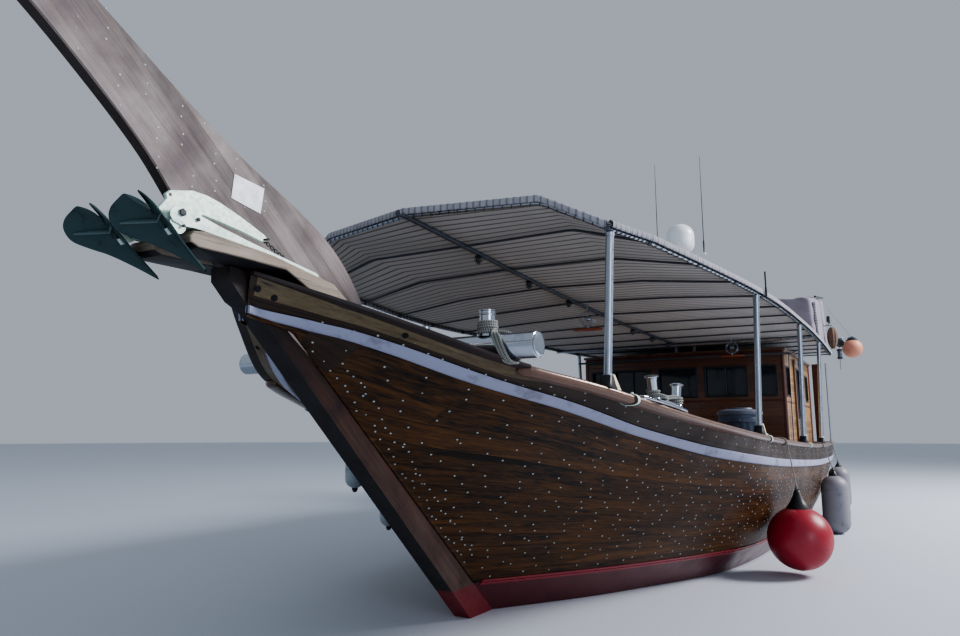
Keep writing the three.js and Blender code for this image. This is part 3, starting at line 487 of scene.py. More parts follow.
# The bulwark's planks are thinner in varnish, brown, with black water stains along the grain.
bulwarkPlank = timber(
    "varnished bulwark planking", "#120b08", "#3e2b1c", "#2a1e15", 0.16, 0.005, 4.2, 0.011, 0.48, coat=0.08,
    shine=0.28, patchAmount=0.5, patchSize=0.5, source="UV", toneSpread=0.2, darkMark="#0a0706", stainAmount=0.9,
    drawnOut=16)
# The top plank at the bow has lost its varnish: bleached to straw, with black mould in the checks.
washPlank = timber(
    "bleached bow plank", "#3a2e20", "#8c7a58", "#5e4c34", 0.5, 0.001, 5.5, 0.012, 0.6, patchAmount=0.6,
    patchSize=0.35, source="UV", toneSpread=0.1, relief=0.004, darkMark="#100b08", stainAmount=1.0, drawnOut=8)
# Turns that bring the grain along X: of boards laid one above the other, of upright boards on a side,
# and of upright boards on an end wall. A baulk is one wide plank, shifted so that no seam crosses it.
flatwise, uprightSide, uprightEnd = (-np.pi / 2, 0, 0), (0, np.pi / 2, 0), (-np.pi / 2, np.pi / 2, 0)
rake = np.arctan2(2.91, 3.19)  # slope of the stem above the waterline
# Stem and keel: adzed baulks, oiled and reddish, split along the grain.
# The stem's faces that look down carry a painted shade, and above 2.2 m the stem darkens upwards to 3 m in
# the same colour.
stemBaulk = timber(
    "oiled stem timber", "#1b100c", "#694638", "#2c2228", 0.9, 0.001, 40, 0.012, 0.55, patchAmount=0.7,
    patchSize=0.3, turn=(-np.pi / 2, 0, -rake), shift=(0, 0.1, 0), relief=0.008, darkMark="#100c10",
    stainAmount=0.9, paintBelow=0.36, paint="#6b111c", darkAbove=(2.2, 3.0), undersideShade="#120d0f")
rudderPlank = timber(
    "painted and varnished rudder planking", "#2b1a0d", "#6b3d16", "#3a2312", 0.2, 0.004, 4, 0.01, 0.45,
    coat=0.3, turn=uprightSide, paintBelow=0.37, paint="#7d1420")
transomPlank = timber(
    "varnished transom planking", "#241409", "#6f4320", "#3a2312", 0.17, 0.004, 3.1, 0.009, 0.35, coat=0.5,
    turn=uprightEnd, paintBelow=0.37, paint="#7d1420")
# The stem-head board stands in full sun: bleached greyish-brown planks, oiled seldom, with fine seams.
bleachedPlank = timber(
    "sun-bleached head planking", "#3a3230", "#857a78", "#5d5455", 0.155, 0.003, 60, 0.009, 0.6,
    patchAmount=0.6, patchSize=0.4, source="UV", toneSpread=0.45, seamColor="#96806c", darkMark="#33292a",
    stainAmount=0.5)
# The anchor timber's faces that look down carry a painted shade.
headBaulk = timber(
    "bleached anchor timber", "#4c4038", "#a89a88", "#7d6c5c", 0.9, 0.001, 40, 0.012, 0.6, turn=flatwise,
    shift=(0, 0.1, 0), relief=0.005, darkMark="#1c1614", stainAmount=0.8, undersideShade="#0d0c0f")
# The rail is turned round and varnished orange-brown, and worn by hands and ropes.
baulk = (0, 0.45, 0)
varnishedRail = timber(
    "varnished round rail", "#2c1c14", "#7b563e", "#54403a", 0.9, 0.003, 5.2, 0.009, 0.34, coat=0.5,
    shift=baulk, darkMark="#2a1810", stainAmount=0.5)
# The flat cap at the bow and the head board's front edge: timber made nearly black as painted shade.
shadeDarkTimber = timber(
    "timber darkened as painted shade", "#120e0d", "#3a2e2a", "#241c1b", 0.9, 0.001, 5.2, 0.01, 0.6, shift=baulk,
    relief=0.004)
# Deck planks are bare and scrubbed grey-brown, with black pitch in the seams.
deckPlank = timber(
    "scrubbed deck planking", "#5c4632", "#a3876a", "#7d6a58", 0.12, 0.006, 4.5, 0.008, 0.7,
    patchAmount=0.5, toneSpread=0.35)
# The wheelhouse front lies in the awning's shade, varnished dark red-brown.
redJoinery = timber(
    "varnished red-brown joinery", "#26150d", "#6b4024", "#472a18", 0.19, 0.004, 6, 0.007, 0.35, coat=0.4,
    turn=uprightEnd, relief=0.002)
# Its sides are golden yellow boards under clear varnish, far lighter than the front.
goldJoinery = timber(
    "varnished golden boards", "#6b4822", "#b58c58", "#8f6a3c", 0.075, 0.005, 3.2, 0.006, 0.35, coat=0.5,
    turn=flatwise, toneSpread=0.5, seamColor="#4a2c10")
doorJoinery = timber(
    "varnished door timber", "#301a10", "#74492c", "#52331f", 0.15, 0.003, 4, 0.006, 0.32, coat=0.6,
    turn=uprightSide, relief=0.002)
columnTimber = timber(
    "varnished stern column", "#24100a", "#6d3422", "#3d1d14", 0.9, 0.001, 30, 0.01, 0.4, coat=0.4,
    turn=uprightSide, shift=baulk, relief=0.004)
darkJoinery = timber(
    "dark painted window frames", "#0c0d13", "#23232b", "#15151c", 0.9, 0.001, 30, 0.006, 0.4, coat=0.3,
    shift=baulk, relief=0.001)
bulwarkFrame = timber(
    "oiled bulwark frames", "#33200f", "#8a6038", "#5a3b22", 0.9, 0.001, 30, 0.008, 0.5, coat=0.2,
    turn=uprightSide, shift=baulk, relief=0.002)
# After a finish's name: its colour, its worn colour, the roughness and the size of a spot of wear.
# Coats of paint, brushed on timber: slightly wavy, chipped at the edges.
stripePaint = finish("brushed lilac-grey paint", "#9a9db4", "#5d5854", 0.5, 0.3, wearAmount=0.6, relief=0.001)
# The bottom's red is darker than the red on the stem, rudder and transom: painted shade from the flare above
# it.
redPaint = finish("brushed red bottom paint", "#4c0a14", "#2e070d", 0.34, 0.4, coat=0.25, relief=0.001)
mouldingPaint = finish("brushed crimson moulding paint", "#861528", "#560f1c", 0.3, 0.4, coat=0.3,
                       relief=0.001)
discPaint = finish("sun-faded terracotta paint", "#a4573c", "#6f3a2a", 0.5, 0.08)
blindSlat = finish("painted blind slats", "#3c4658", "#58626f", 0.5, 0.4)
# Coats on steel hide the metal but for rubbed spots.
darkPaint = finish("dark painted steel", "#2b3033", "#4a4038", 0.55, 0.08, metallic=0.2)
creamPaint = finish("cream painted steel", "#efe6c4", "#a8916a", 0.45, 0.06, wearAmount=0.4)
whitePaint = finish("white painted plate", "#e9ebee", "#c4c3bd", 0.4, 0.08, wearAmount=0.4)
# The anchors' dark teal is painted shade and painted reflection of dark water, with darker spots of sea wear.
anchorTealShade = finish("sea-worn anchor steel in painted teal shade", "#1d3b3e", "#0e1518", 0.45, 0.12, wearAmount=0.8)
# The anchors' ribs are a lighter grey-teal than their wings.
anchorRibGrey = finish("lighter grey-teal anchor rib steel", "#5f7577", "#26393c", 0.4, 0.08)
# Polished stainless tube mirrors sky and floor, with a faint grain and water spots.
polishedTube = finish("polished stainless tube", "#c4cad4", "#9aa2b0", 0.14, 0.2, metallic=1.0, relief=0.0002)
# Brushed tube of the awning's posts and frame has a softer gleam.
brushedTube = finish("brushed stainless tube", "#aeb6c0", "#7f8792", 0.3, 0.3, metallic=1.0, relief=0.0003)
# Tube under the canvas, the ridge and rafters and the pipe under the eaves, made dark grey as painted shade,
# with rubbed spots.
shadedTube = finish("dark grey tube in painted shade", "#4d535c", "#30343a", 0.5, 0.12, metallic=0.2)
# Hot-dip zinc: pale, matt and mottled by its crystals.
zincPlate = finish("hot-dip galvanised plate", "#d3e6dc", "#9db3a9", 0.45, 0.04, metallic=0.2)
castIron = finish("oily cast iron", "#4c5254", "#2a2523", 0.5, 0.1, metallic=0.6)
boltHead = finish("black iron bolt heads", "#1b1a1c", "#54504c", 0.45, 0.1, metallic=0.6)
bronze = finish("sea-worn bronze", "#9c7a3c", "#5d6b4a", 0.35, 0.1, metallic=1.0)
# Nails are sunk and stopped with putty, which has dried pale; round each head lies a dark disc of painted
# shadow.
nailHead = finish("pale putty over nail heads", "#b4b4ac", "#5f5a50", 0.5, 0.4, wearFrom=0.5, wearAmount=0.8)
nailShadow = finish("painted shadow round the nail heads", "#0e0906", "#22140a", 0.5, 0.2, wearAmount=0.8)
# Moulded plastics: even in colour, dulled by sun, scuffed where they rub.
radomeShell = finish("moulded white shell", "#e9edf2", "#cfd5dc", 0.3, 0.3, coat=0.2)
binPlastic = finish("moulded grey bin plastic", "#465064", "#687184", 0.5, 0.12)
binLid = finish("moulded blue-grey lid plastic", "#59616f", "#757d89", 0.45, 0.12)
blackPlastic = finish("moulded black plastic", "#14161a", "#2c2f35", 0.45, 0.08)
redVinyl = finish("inflated red vinyl", "#9c2231", "#7c2c3c", 0.35, 0.25, wearAmount=0.6)
greyVinyl = finish("inflated grey vinyl", "#85838a", "#626068", 0.5, 0.2, wearAmount=0.7)
paleVinyl = finish("inflated pale vinyl", "#aab7bd", "#7d8b92", 0.5, 0.2, wearAmount=0.6)
salmonVinyl = finish("sun-faded orange vinyl", "#c98a72", "#a86a55", 0.5, 0.1, wearAmount=0.6)
darkCord = finish("dark lacing cord", "#2c2f36", "#4a4e57", 0.7, 0.05)
# After a cloth's name: its colour, its stripe's and its grime's, the stripe's spacing and share, the
# size of a cloud of grime and how much of it shows. The awning is stitched in narrow ribs.
awningCloth = cloth("ribbed awning canvas", "#c4c2be", "#55534f", "#9a9893", 0.16, 0.2, 1.4, 0.5)
edgeCloth = cloth("pale edge webbing", "#a9a8ae", "#7c7c84", "#85848a", 0.07, 0.25, 0.3, 0.5)
hoodCloth = cloth("weathered hood canvas", "#8b8490", "#7f7885", "#5c5762", 1.6, 0.01, 0.7, 0.7)
brownCanvas = cloth("brown lamp cover canvas", "#6b5140", "#4a382c", "#3c3028", 0.4, 0.02, 0.2, 0.6)
rope = ropeFibre()
smokedGlass = tintedGlass("smoked window glass", "#0c1420", 0.35)
lampGlass = tintedGlass("clear lamp glass", "#9fb0b8", 0.7)
print("materials made")

# Hull lines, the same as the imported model's
lines = {
    "sternX": -10.3,
    "bowX": 9.05,
    "stemHalf": 0.11,
    "capHeight": 0.09,
    "capWidth": 0.19,
    "capOut": 0.04,
    "wall": 0.06,
    "bootTop": 0.38,
    # x, drop of the stripe's top below the sheer, depth of the stripe
    "stripe": [
        (-10.3, 0.38, 0.115), (-5, 0.34, 0.115), (-1, 0.312, 0.115), (2, 0.305, 0.112), (3.5, 0.28, 0.104),
        (5, 0.216, 0.076), (6.4, 0.16, 0.072), (7.4, 0.122, 0.07), (8, 0.124, 0.066), (8.5, 0.16, 0.064),
        (9.05, 0.28, 0.064),
    ],
    "planks": 12,  # between the boot top and the stripe
    "plankUnit": 0.16,  # a plank's share of the UV, in metres
    # x, half beam at the sheer, height of the sheer, fullness of the section
    "stations": [
        (-10.3, 2.73, 1.86, 2.3), (-7, 2.89, 1.87, 2.6), (-3, 2.98, 1.9, 2.8), (1, 2.93, 2.02, 2.3),
        (3, 2.8, 2.14, 1.24), (5, 2.48, 2.34, 0.78), (6.3, 2.06, 2.57, 0.78), (7.3, 1.56, 2.76, 0.8),
        (8.3, 0.8, 3.12, 0.85), (9.05, 0.15, 3.39, 0.95),
    ],
}
rail = {
    "roundFrom": 7.15,  # aft of here the rail is round and proud, ahead of it a flat board
    "roundPower": 2.5,
    "flatPower": 9.0,
}
nails = {
    "frames": 0.32,  # spacing of the frames that the planks are nailed to
    "head": 0.0115,
    # radius of the dark disc of painted shadow round each head
    "darkMark": 0.02,
    "seed": 7,
}


def sheerLine(x):
    # half beam, height and fullness at a station
    return columnsOf(lines["stations"], x)


def deckAt(x):
    # the deck lies below the sheer by the bulwark: 0.6 m aft, falling to 0.4 m at the bow
    return sheerLine(x)[1] - 0.6 + 0.2 * np.clip((np.asarray(x) - 2) / 6, 0, 1)


def rabbetAt(x):
    # the raked stem, rounded by a soft maximum into the level keel, rising again to the stern
    x = np.asarray(x, float)
    stem = 0.38 + (x - 5.5) / 1.183
    forefoot = -1.3 + 0.35 * np.log1p(np.exp((stem + 1.3) / 0.35))
    return forefoot + 0.95 * np.clip((-5 - x) / 5.3, 0, 1) ** 1.5


def skinAt(x, z):
    # half breadth: from the stem's side out to the sheer along 1 - (1 - u) ^ fullness
    beam, sheer, fullness = sheerLine(x)
    foot = np.minimum(rabbetAt(x), sheer - 0.3)
    rise = np.clip((z - foot) / (sheer - foot), 0, 1)
    half = lines["stemHalf"]
    return half + (beam - half) * (1 - (1 - rise) ** fullness)


def plankAt(x, z):
    return np.maximum(skinAt(x, z), lines["stemHalf"] + 0.02)


def stripeAt(x):
    # height of the stripe's top and of its foot
    drop, deep = columnsOf(lines["stripe"], x)
    top = sheerLine(x)[1] - drop
    return top, top - deep


def alongHull(count, x0=lines["sternX"], x1=lines["bowX"]):
    # stations, closer together towards the bow where the sides curve most
    return x0 + (x1 - x0) * (1 - (1 - np.linspace(0, 1, count)) ** 1.35)


def sideStations(side):
    # the planking's stations: on the starboard bow they stop short of the stem, behind the head board
    return alongHull(230, x1=lines["bowX"] - (0.16 if side < 0 else 0))


def skinPoint(x, z, out=0.0, side=1):
    # a point on the planking, stood off it along its own normal
    x, z = np.broadcast_arrays(np.asarray(x, float), np.asarray(z, float))
    step = 0.01
    dx = (plankAt(x + step, z) - plankAt(x - step, z)) / (2 * step)
    dz = (plankAt(x, z + step) - plankAt(x, z - step)) / (2 * step)
    normal = unit(zipped(-dx, 1, -dz))
    point = zipped(x, plankAt(x, z), z) + normal * np.asarray(out)[..., None]
    return point * (1, side, 1), normal * (1, side, 1)


def closedRings(*arrays):
    # columns side by side, and the first one again: rings that end where they begin
    return np.concatenate([*arrays, arrays[0][:, :1]], 1)


def makePlanking():
    # topsides from the boot top to the stripe, then the bulwark, whose inner face runs down to the deck
    for word, side in boatSides.items():
        x = sideStations(side)
        station = x[:, None]
        middle = np.mean(stripeAt(x), 0)
        low = np.minimum(np.maximum(lines["bootTop"], rabbetAt(x)), middle - 0.06)
        rows = low[:, None] + (middle - low)[:, None] * np.linspace(0, 1, 40)
        outer = zipped(station, side * plankAt(station, rows), rows)
        inner = outer[:, ::-1] - np.array([0, side * 0.015, 0])
        # the UV counts planks: 0 at the boot top, the plank count at the stripe's foot
        row = lines["planks"] * (rows - lines["bootTop"]) / (stripeAt(station)[1] - lines["bootTop"])
        v = row * lines["plankUnit"]
        planks = loft(closedRings(outer, inner), zipped(station, closedRings(v, v[:, ::-1])))
        makePiece(f"topside_planking_{word}", [planks], varnishedPlank,
                  replaces=("hull",))

        # the outer face runs up inside the cap, the inner one stops under it
        sheer = sheerLine(x)[1]
        high, top = sheer - 0.022, sheer - lines["capHeight"]
        foot = np.maximum(np.minimum(deckAt(x) - 0.05, middle), low)
        rise = np.linspace(0, 1, 10)
        rows = middle[:, None] + (high - middle)[:, None] * rise
        back = top[:, None] + (foot - top)[:, None] * rise
        outer = zipped(station, side * plankAt(station, rows), rows)
        inside = np.maximum(skinAt(station, back) - lines["wall"], lines["stemHalf"] + 0.005)
        inner = zipped(station, side * inside, back)
        # one plank under the cap and one behind the stripe outside, three inside
        v = np.broadcast_to(np.concatenate([0.5 + 1.5 * rise, 2 + 3 * rise]), (len(x), 20))
        uv = zipped(station, closedRings(v) * lines["plankUnit"])
        makePiece(f"bulwark_planking_{word}", [loft(closedRings(outer, inner), uv)], bulwarkPlank,
                  replaces=(f"bulwark_aft_{word}", f"bulwark_fore_{word}"))


def makeWashPlank():
    # a plank laid on the bulwark under the flat cap: its foot a share of the way down to the stripe, its
    # after end run out to nothing
    x = alongHull(90, 6.7, lines["bowX"] - 0.04)
    station = x[:, None]
    top = sheerLine(x)[1] - 0.033
    foot = top - 0.62 * (top - stripeAt(x)[0]) * np.clip((x - 6.6) / 0.5, 0.05, 1) ** 0.5
    thick = 0.012 * np.clip((x - 6.68) / 0.3, 0.15, 1)
    section = boxy(2.0, 1.0, 8)
    z = ((top + foot) / 2)[:, None] + (top - foot)[:, None] * section[:, 1]
    y = plankAt(station, z) + thick[:, None] * section[:, 0]
    uv = zipped(station, 0.25 + section[:, 1] * 0.1)
    makePair("bow_plank", [loft(zipped(station, y, z), uv)], washPlank, "varnished_planking")
    points, normals = skinPoint([8.86, 7.98, 8.99], [3.19, 2.94, 3.25], 0.012)
    bolts = [domes(points, normals, 0.02, 0.01), domes(points, normals, 0.03, 0.003)]
    makePiece("bow_bolts", bolts + mirrored(bolts), boltHead)


def makeBottom():
    # the painted bottom: both sides from the rabbet up to the boot top, closed across inside
    x = alongHull(120, x1=5.49)
    low = rabbetAt(x)
    rows = low[:, None] + (lines["bootTop"] - low)[:, None] * np.linspace(0, 1, 30)
    port = zipped(x[:, None], skinAt(x[:, None], rows), rows)
    starboard = port[:, ::-1] * (1, -1, 1)
    makePiece("painted_bottom", [loft(closedRings(port, starboard))], redPaint,
              replaces=("hull",))


def makeMouldings():
    # the stripe is a flat board with soft edges; the boot top is two half-round mouldings
    for word, side in boatSides.items():
        x = sideStations(side)
        section = boxy(0.05, 1.0, 6, 20)  # out, up
        top, foot = stripeAt(x)
        z = ((top + foot) / 2)[:, None] + (top - foot)[:, None] * section[:, 1]
        y = plankAt(x[:, None], z) + section[:, 0]
        makePiece(f"stripe_{word}", [loft(zipped(x[:, None], side * y, z))], stripePaint,
                  replaces=(f"rub_strake_{word}",))
    x = alongHull(150, x1=5.42)
    halfRounds = []
    for rise in (0.012, -0.022):
        section = circle(12) * 0.017
        z = lines["bootTop"] + rise + section[:, 1] + 0 * x[:, None]
        y = plankAt(x[:, None], z) + section[:, 0]
        halfRounds.append(loft(zipped(x[:, None], y, z)))
    makePair("boot_top", halfRounds, mouldingPaint, "red_paint", "boot_top_moulding")


def makeRails():
    # the cap: a superellipse section, nearly round aft, where its fore end closes in, and square at the bow
    middleOut = lines["capOut"] - lines["capWidth"] / 2
    roundX = alongHull(200, -10.36, rail["roundFrom"])
    closing = 1 - 0.75 * np.clip((roundX - rail["roundFrom"] + 0.07) / 0.07, 0, 1) ** 3
    flatX = alongHull(70, rail["roundFrom"] - 0.02, lines["bowX"])
    for name, x, ends, power, (wide, high), material in (
        ("round_rail", roundX, closing, rail["roundPower"], (0.19, 0.1), varnishedRail),
        ("flat_cap", flatX, np.ones(70), rail["flatPower"], (0.18, 0.036), shadeDarkTimber),
    ):
        section = boxy(wide, high, power)
        beam, sheer, _ = sheerLine(x)
        y = np.maximum(beam[:, None] + middleOut + section[:, 0] * ends[:, None], 0.116)
        z = (sheer - high / 2)[:, None] + section[:, 1] * ends[:, None]
        makePair(name, [loft(zipped(x[:, None], y, z))], material, "oiled_rail", "cap_rail")


def domes(points, normals, radius, rise):
    # eight-sided domes: a rim sunk in the plank, a shoulder and a pole on each point's own normal
    side = unit(np.cross(normals, (0, 0, 1.0)))
    over = np.cross(normals, side)
    around = circle(8)
    out = radius * (around[:, :1] * side[:, None] + around[:, 1:] * over[:, None])
    grid = np.stack([points[:, None] + normals[:, None] * up + size * out
                     for size, up in ((1.0, -0.003), (0.95, rise * 0.6), (0.55, rise), (0.0, rise))], 1)
    count, rows, columns = grid.shape[:3]
    base = np.arange(count)[:, None, None] * rows * columns
    corner = base + np.arange(rows - 1)[None, :, None] * columns + np.arange(columns - 1)
    faces = np.stack([corner, corner + 1, corner + columns + 1, corner + columns], -1).reshape(-1, 4)
    return {"points": grid.reshape(-1, 3), "faces": [faces], "uv": np.zeros((grid.size // 3, 2))}


def makeNails():
    # two heads a plank on each frame, slanting across it, a double row beside the stem, and the plugs of
    # the bulwark
    chance = np.random.default_rng(nails["seed"])
    heads, shadowDiscs = [], []

    def drive(station, z, side):
        points, normals = skinPoint(station, z, 0, side)
        heads.append(domes(points, normals, nails["head"], 0.004))
        # a dark disc round the head: painted shadow
        shadowDiscs.append(domes(points, normals, nails["darkMark"], 0.0012))

    for side in boatSides.values():
        frames = np.arange(-10.1, 8.6, nails["frames"])
        x, plank = np.meshgrid(frames, np.arange(lines["planks"]))
        for shift, share in ((-0.045, 0.25), (0.05, 0.72)):
            station = x + shift + chance.normal(0, 0.032, x.shape)
            place = (plank + share + chance.normal(0, 0.11, x.shape)) / lines["planks"]
            stripeFoot = stripeAt(station)[1]
            z = lines["bootTop"] + place * (stripeFoot - lines["bootTop"])
            kept = (z > np.maximum(rabbetAt(station) + 0.12, 0.44)) & (z < stripeFoot - 0.03)
            kept &= chance.random(x.shape) > 0.12
            drive(station[kept], z[kept], side)
        for beside, start in ((0.06, 5.75), (0.15, 5.7)):
            station = np.arange(start, 8.5, 0.085)
            station = station + beside * 0.3 + chance.normal(0, 0.015, station.shape)
            z = rabbetAt(station) + beside + chance.normal(0, 0.015, station.shape)
            kept = z < stripeAt(station)[1] - 0.02
            drive(station[kept], z[kept], side)
        # shift of the first plug, share of the height, spacing, first and last station
        for shift, share, spacing, first, last in ((0, 0.4, 0.3, -10.0, 6.4), (0.1, 0.75, 0.3, -10.0, 6.4),
                                                   (0, 0.16, 0.17, 6.4, 8.6), (0.2, 0.62, 1.15, 6.5, 8.7)):
            station = np.arange(first, last, spacing) + shift
            station = station + chance.normal(0, 0.02, station.shape)
            low, high = stripeAt(station)[0], sheerLine(station)[1] - 0.05
            drive(station, low + (high - low) * (share + chance.normal(0, 0.06, station.shape)), side)
    makePiece("plank_nail_heads", heads, nailHead)
    makePiece("plank_nail_shadows", shadowDiscs, nailShadow)


makePlanking()
makeWashPlank()
makeBottom()
makeMouldings()
makeRails()
makeNails()
print("hull planked")


def dress(names, material, bevel=0.0):
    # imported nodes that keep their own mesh: their material, and their edges eased if a width is given
    for name in names:
        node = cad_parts[name]
        node.data.materials.clear()
        node.data.materials.append(material)
        if bevel:
            weld = node.modifiers.new("weld", "WELD")
            weld.merge_threshold = 0.00002
            ease = node.modifiers.new("eased edges", "BEVEL")
            ease.width = bevel
            ease.segments = 2
            ease.limit_method = "ANGLE"
            ease.angle_limit = np.radians(35)
            ease.harden_normals = False


def onBoth(name):
    return [f"{name}_{word}" for word in boatSides]


dress(["keel_and_stem"], stemBaulk, 0.012)
dress(["rudder"], rudderPlank, 0.006)
dress(["transom"], transomPlank)
dress(["deck_aft", "deck_fore"], deckPlank)
dress(["cap_rail_stern"], varnishedRail, 0.02)
dress(onBoth("anchor_timber"), headBaulk, 0.02)
dress(["engine"], castIron, 0.02)
dress(["propeller"], bronze)
dress(onBoth("stern_post"), columnTimber, 0.015)
dress(onBoth("wheelhouse_side"), goldJoinery)
dress(["wheelhouse_front", "wheelhouse_aft"], redJoinery)
dress(["wheelhouse_roof"], doorJoinery, 0.01)
dress(onBoth("side_door"), doorJoinery, 0.004)
dress(["window_glass_front", "window_glass_aft"], smokedGlass)


# Stem head: a wide board of planks laid along the rake, and what is fixed to it
head = {
    "half": 0.05,
    "rakeDegrees": 39.6,
    # x, z of the front edge upwards, then of the back edge downwards
    "front": [(9.23, 3.401), (9.6, 3.69), (9.99, 4.11), (10.61, 4.62), (11.3, 5.11), (11.98, 5.66)],
    "back": [(11.82, 5.86), (11.4, 5.62), (10.4, 5.03), (9.17, 4.37), (8.47, 4.08), (8.07, 3.88),
             (7.78, 3.65), (7.54, 3.37)],
    "foot": [(7.47, 2.46), (7.66, 2.51), (8.05, 2.62), (8.88, 3.191), (8.9, 3.381)],
    "plank": 0.155,
    "plugSpacing": 0.42,
    "sign": [(9.189, 4.177), (8.869, 4.148), (8.898, 3.918), (9.208, 3.968)],
    "signThick": 0.004,
}


def makeHeadBoard():
    # the outline in the planks' own axes: u along the rake, v square to it
    slope = np.radians(head["rakeDegrees"])
    along = np.array([np.cos(slope), 0, np.sin(slope)])
    across = np.array([-np.sin(slope), 0, np.cos(slope)])
    turnIn = np.array([along[[0, 2]], across[[0, 2]]]).T
    half = head["half"]
    front = smoothPath(head["front"], 40) @ turnIn
    back = smoothPath(head["back"], 50) @ turnIn
    corner = (front[-1] + back[0]) / 2 + 0.08 * np.array([1, 0.1])
    tip = smoothPath([front[-1], corner, back[0]], 9)[1:-1]
    outline = np.concatenate([front, tip, back, head["foot"] @ turnIn])
    board = plate(outline, 2 * half, 0.012, (0, half, 0), along, across)
    makePiece("head_board_planks", [board], bleachedPlank, replaces=("stem_head_board",))

    # the front edge is cut across the planks' grain; its near-black timber is painted shade, for the shade on
    # this forward face
    nose = front[:, :1] * along + front[:, 1:] * across
    makePiece("head_board_edge", [sweep(nose, 1.0, boxy(2 * half - 0.004, 0.012, 8))], shadeDarkTimber)

    # plugs in pairs down the middle of each plank
    spots = []
    for row in np.arange(-4.65, -2.2, head["plank"]):
        for step in np.arange(front[:, 0].min() + row % 0.3, front[:, 0].max(), head["plugSpacing"]):
            spots += [(step, row + 0.04), (step + 0.05, row + 0.11)]
    spots = np.array(spots)
    # a spot is inside where a line drawn from it crosses the outline an odd number of times
    nextOne = np.roll(outline, -1, 0)
    edge = nextOne - outline
    above = (outline[:, 1] > spots[:, None, 1]) != (nextOne[:, 1] > spots[:, None, 1])
    rise = np.where(edge[:, 1] == 0, 1, edge[:, 1])
    reach = outline[:, 0] + (spots[:, None, 1] - outline[:, 1]) * edge[:, 0] / rise
    kept = spots[np.sum(above & (reach > spots[:, None, 0]), 1) % 2 == 1]
    centres = kept[:, :1] * along + kept[:, 1:] * across
    plugs = []
    for side in boatSides.values():
        normal = np.broadcast_to((0.0, side, 0.0), centres.shape)
        plugs.append(domes(centres + normal * half, normal, 0.008, 0.002))
    makePiece("head_board_plugs", plugs, nailHead)

    blank = plate(head["sign"], head["signThick"], 0.001, (0, half + head["signThick"] + 0.001, 0))
    corners = np.array([(x, half + 0.006, z) for x, z in head["sign"]])
    screws = domes(corners * 0.9 + corners.mean(0) * 0.1, np.broadcast_to((0.0, 1.0, 0.0), (4, 3)), 0.007,
                   0.002)
    makePiece("blank_sign_plate", [blank, screws], whitePaint)


# Anchors: a plough of two wings on a ridge, a galvanised shank plate, and the roller channel it lies in
anchor = {
    "middle": 0.27,
    "tip": (9.58, 3.262),
    "ridge": (0.815, 0.579),  # x, z direction from the tip to the heel
    "droopDegrees": 28,
    # distance along the ridge from the tip, and out from it, of a wing's edge
    "wing": [(0, 0), (0.17, 0.07), (0.34, 0.155), (0.45, 0.235), (0.56, 0.3), (0.66, 0.285), (0.72, 0.225),
             (0.75, 0.14), (0.755, 0.08), (0.68, 0.05), (0.56, 0.0)],
    "heel": 0.56,
    "thick": 0.011,
    "shank": [(9.928, 3.779), (9.962, 3.744), (9.949, 3.715), (10.01, 3.631), (9.989, 3.58), (9.947, 3.509),
              (9.9, 3.465), (9.83, 3.5), (9.72, 3.6), (9.645, 3.672), (9.489, 3.66), (9.291, 3.638),
              (9.081, 3.605), (9.03, 3.618), (9.022, 3.642), (9.061, 3.668), (9.182, 3.711),
              (9.322, 3.758), (9.499, 3.809), (9.625, 3.83), (9.745, 3.83), (9.85, 3.8), (9.89, 3.79)],
    "eye": (9.925, 3.747),
    "shankHalf": 0.016,
    "channel": [(9.926, 3.658), (9.852, 3.667), (9.696, 3.641), (9.531, 3.606), (9.22, 3.553), (8.5, 3.45),
                (8.48, 3.437), (8.48, 3.419), (9.0, 3.4975), (9.66, 3.5375), (9.75, 3.5395), (9.842, 3.53),
                (9.926, 3.547), (9.953, 3.581), (9.956, 3.621)],
    "channelFaces": (0.2, 0.34),
    "bracket": [(9.944, 3.56), (9.944, 3.53), (9.931, 3.489), (9.893, 3.469), (9.847, 3.476), (9.813, 3.518),
                (9.83, 3.56)],
    # place of a pin through the channel, radius of its heads
    "pins": [((9.86, 3.625), 0.03), ((9.73, 3.606), 0.016), ((9.845, 3.532), 0.012)],
    "links": 9,
}


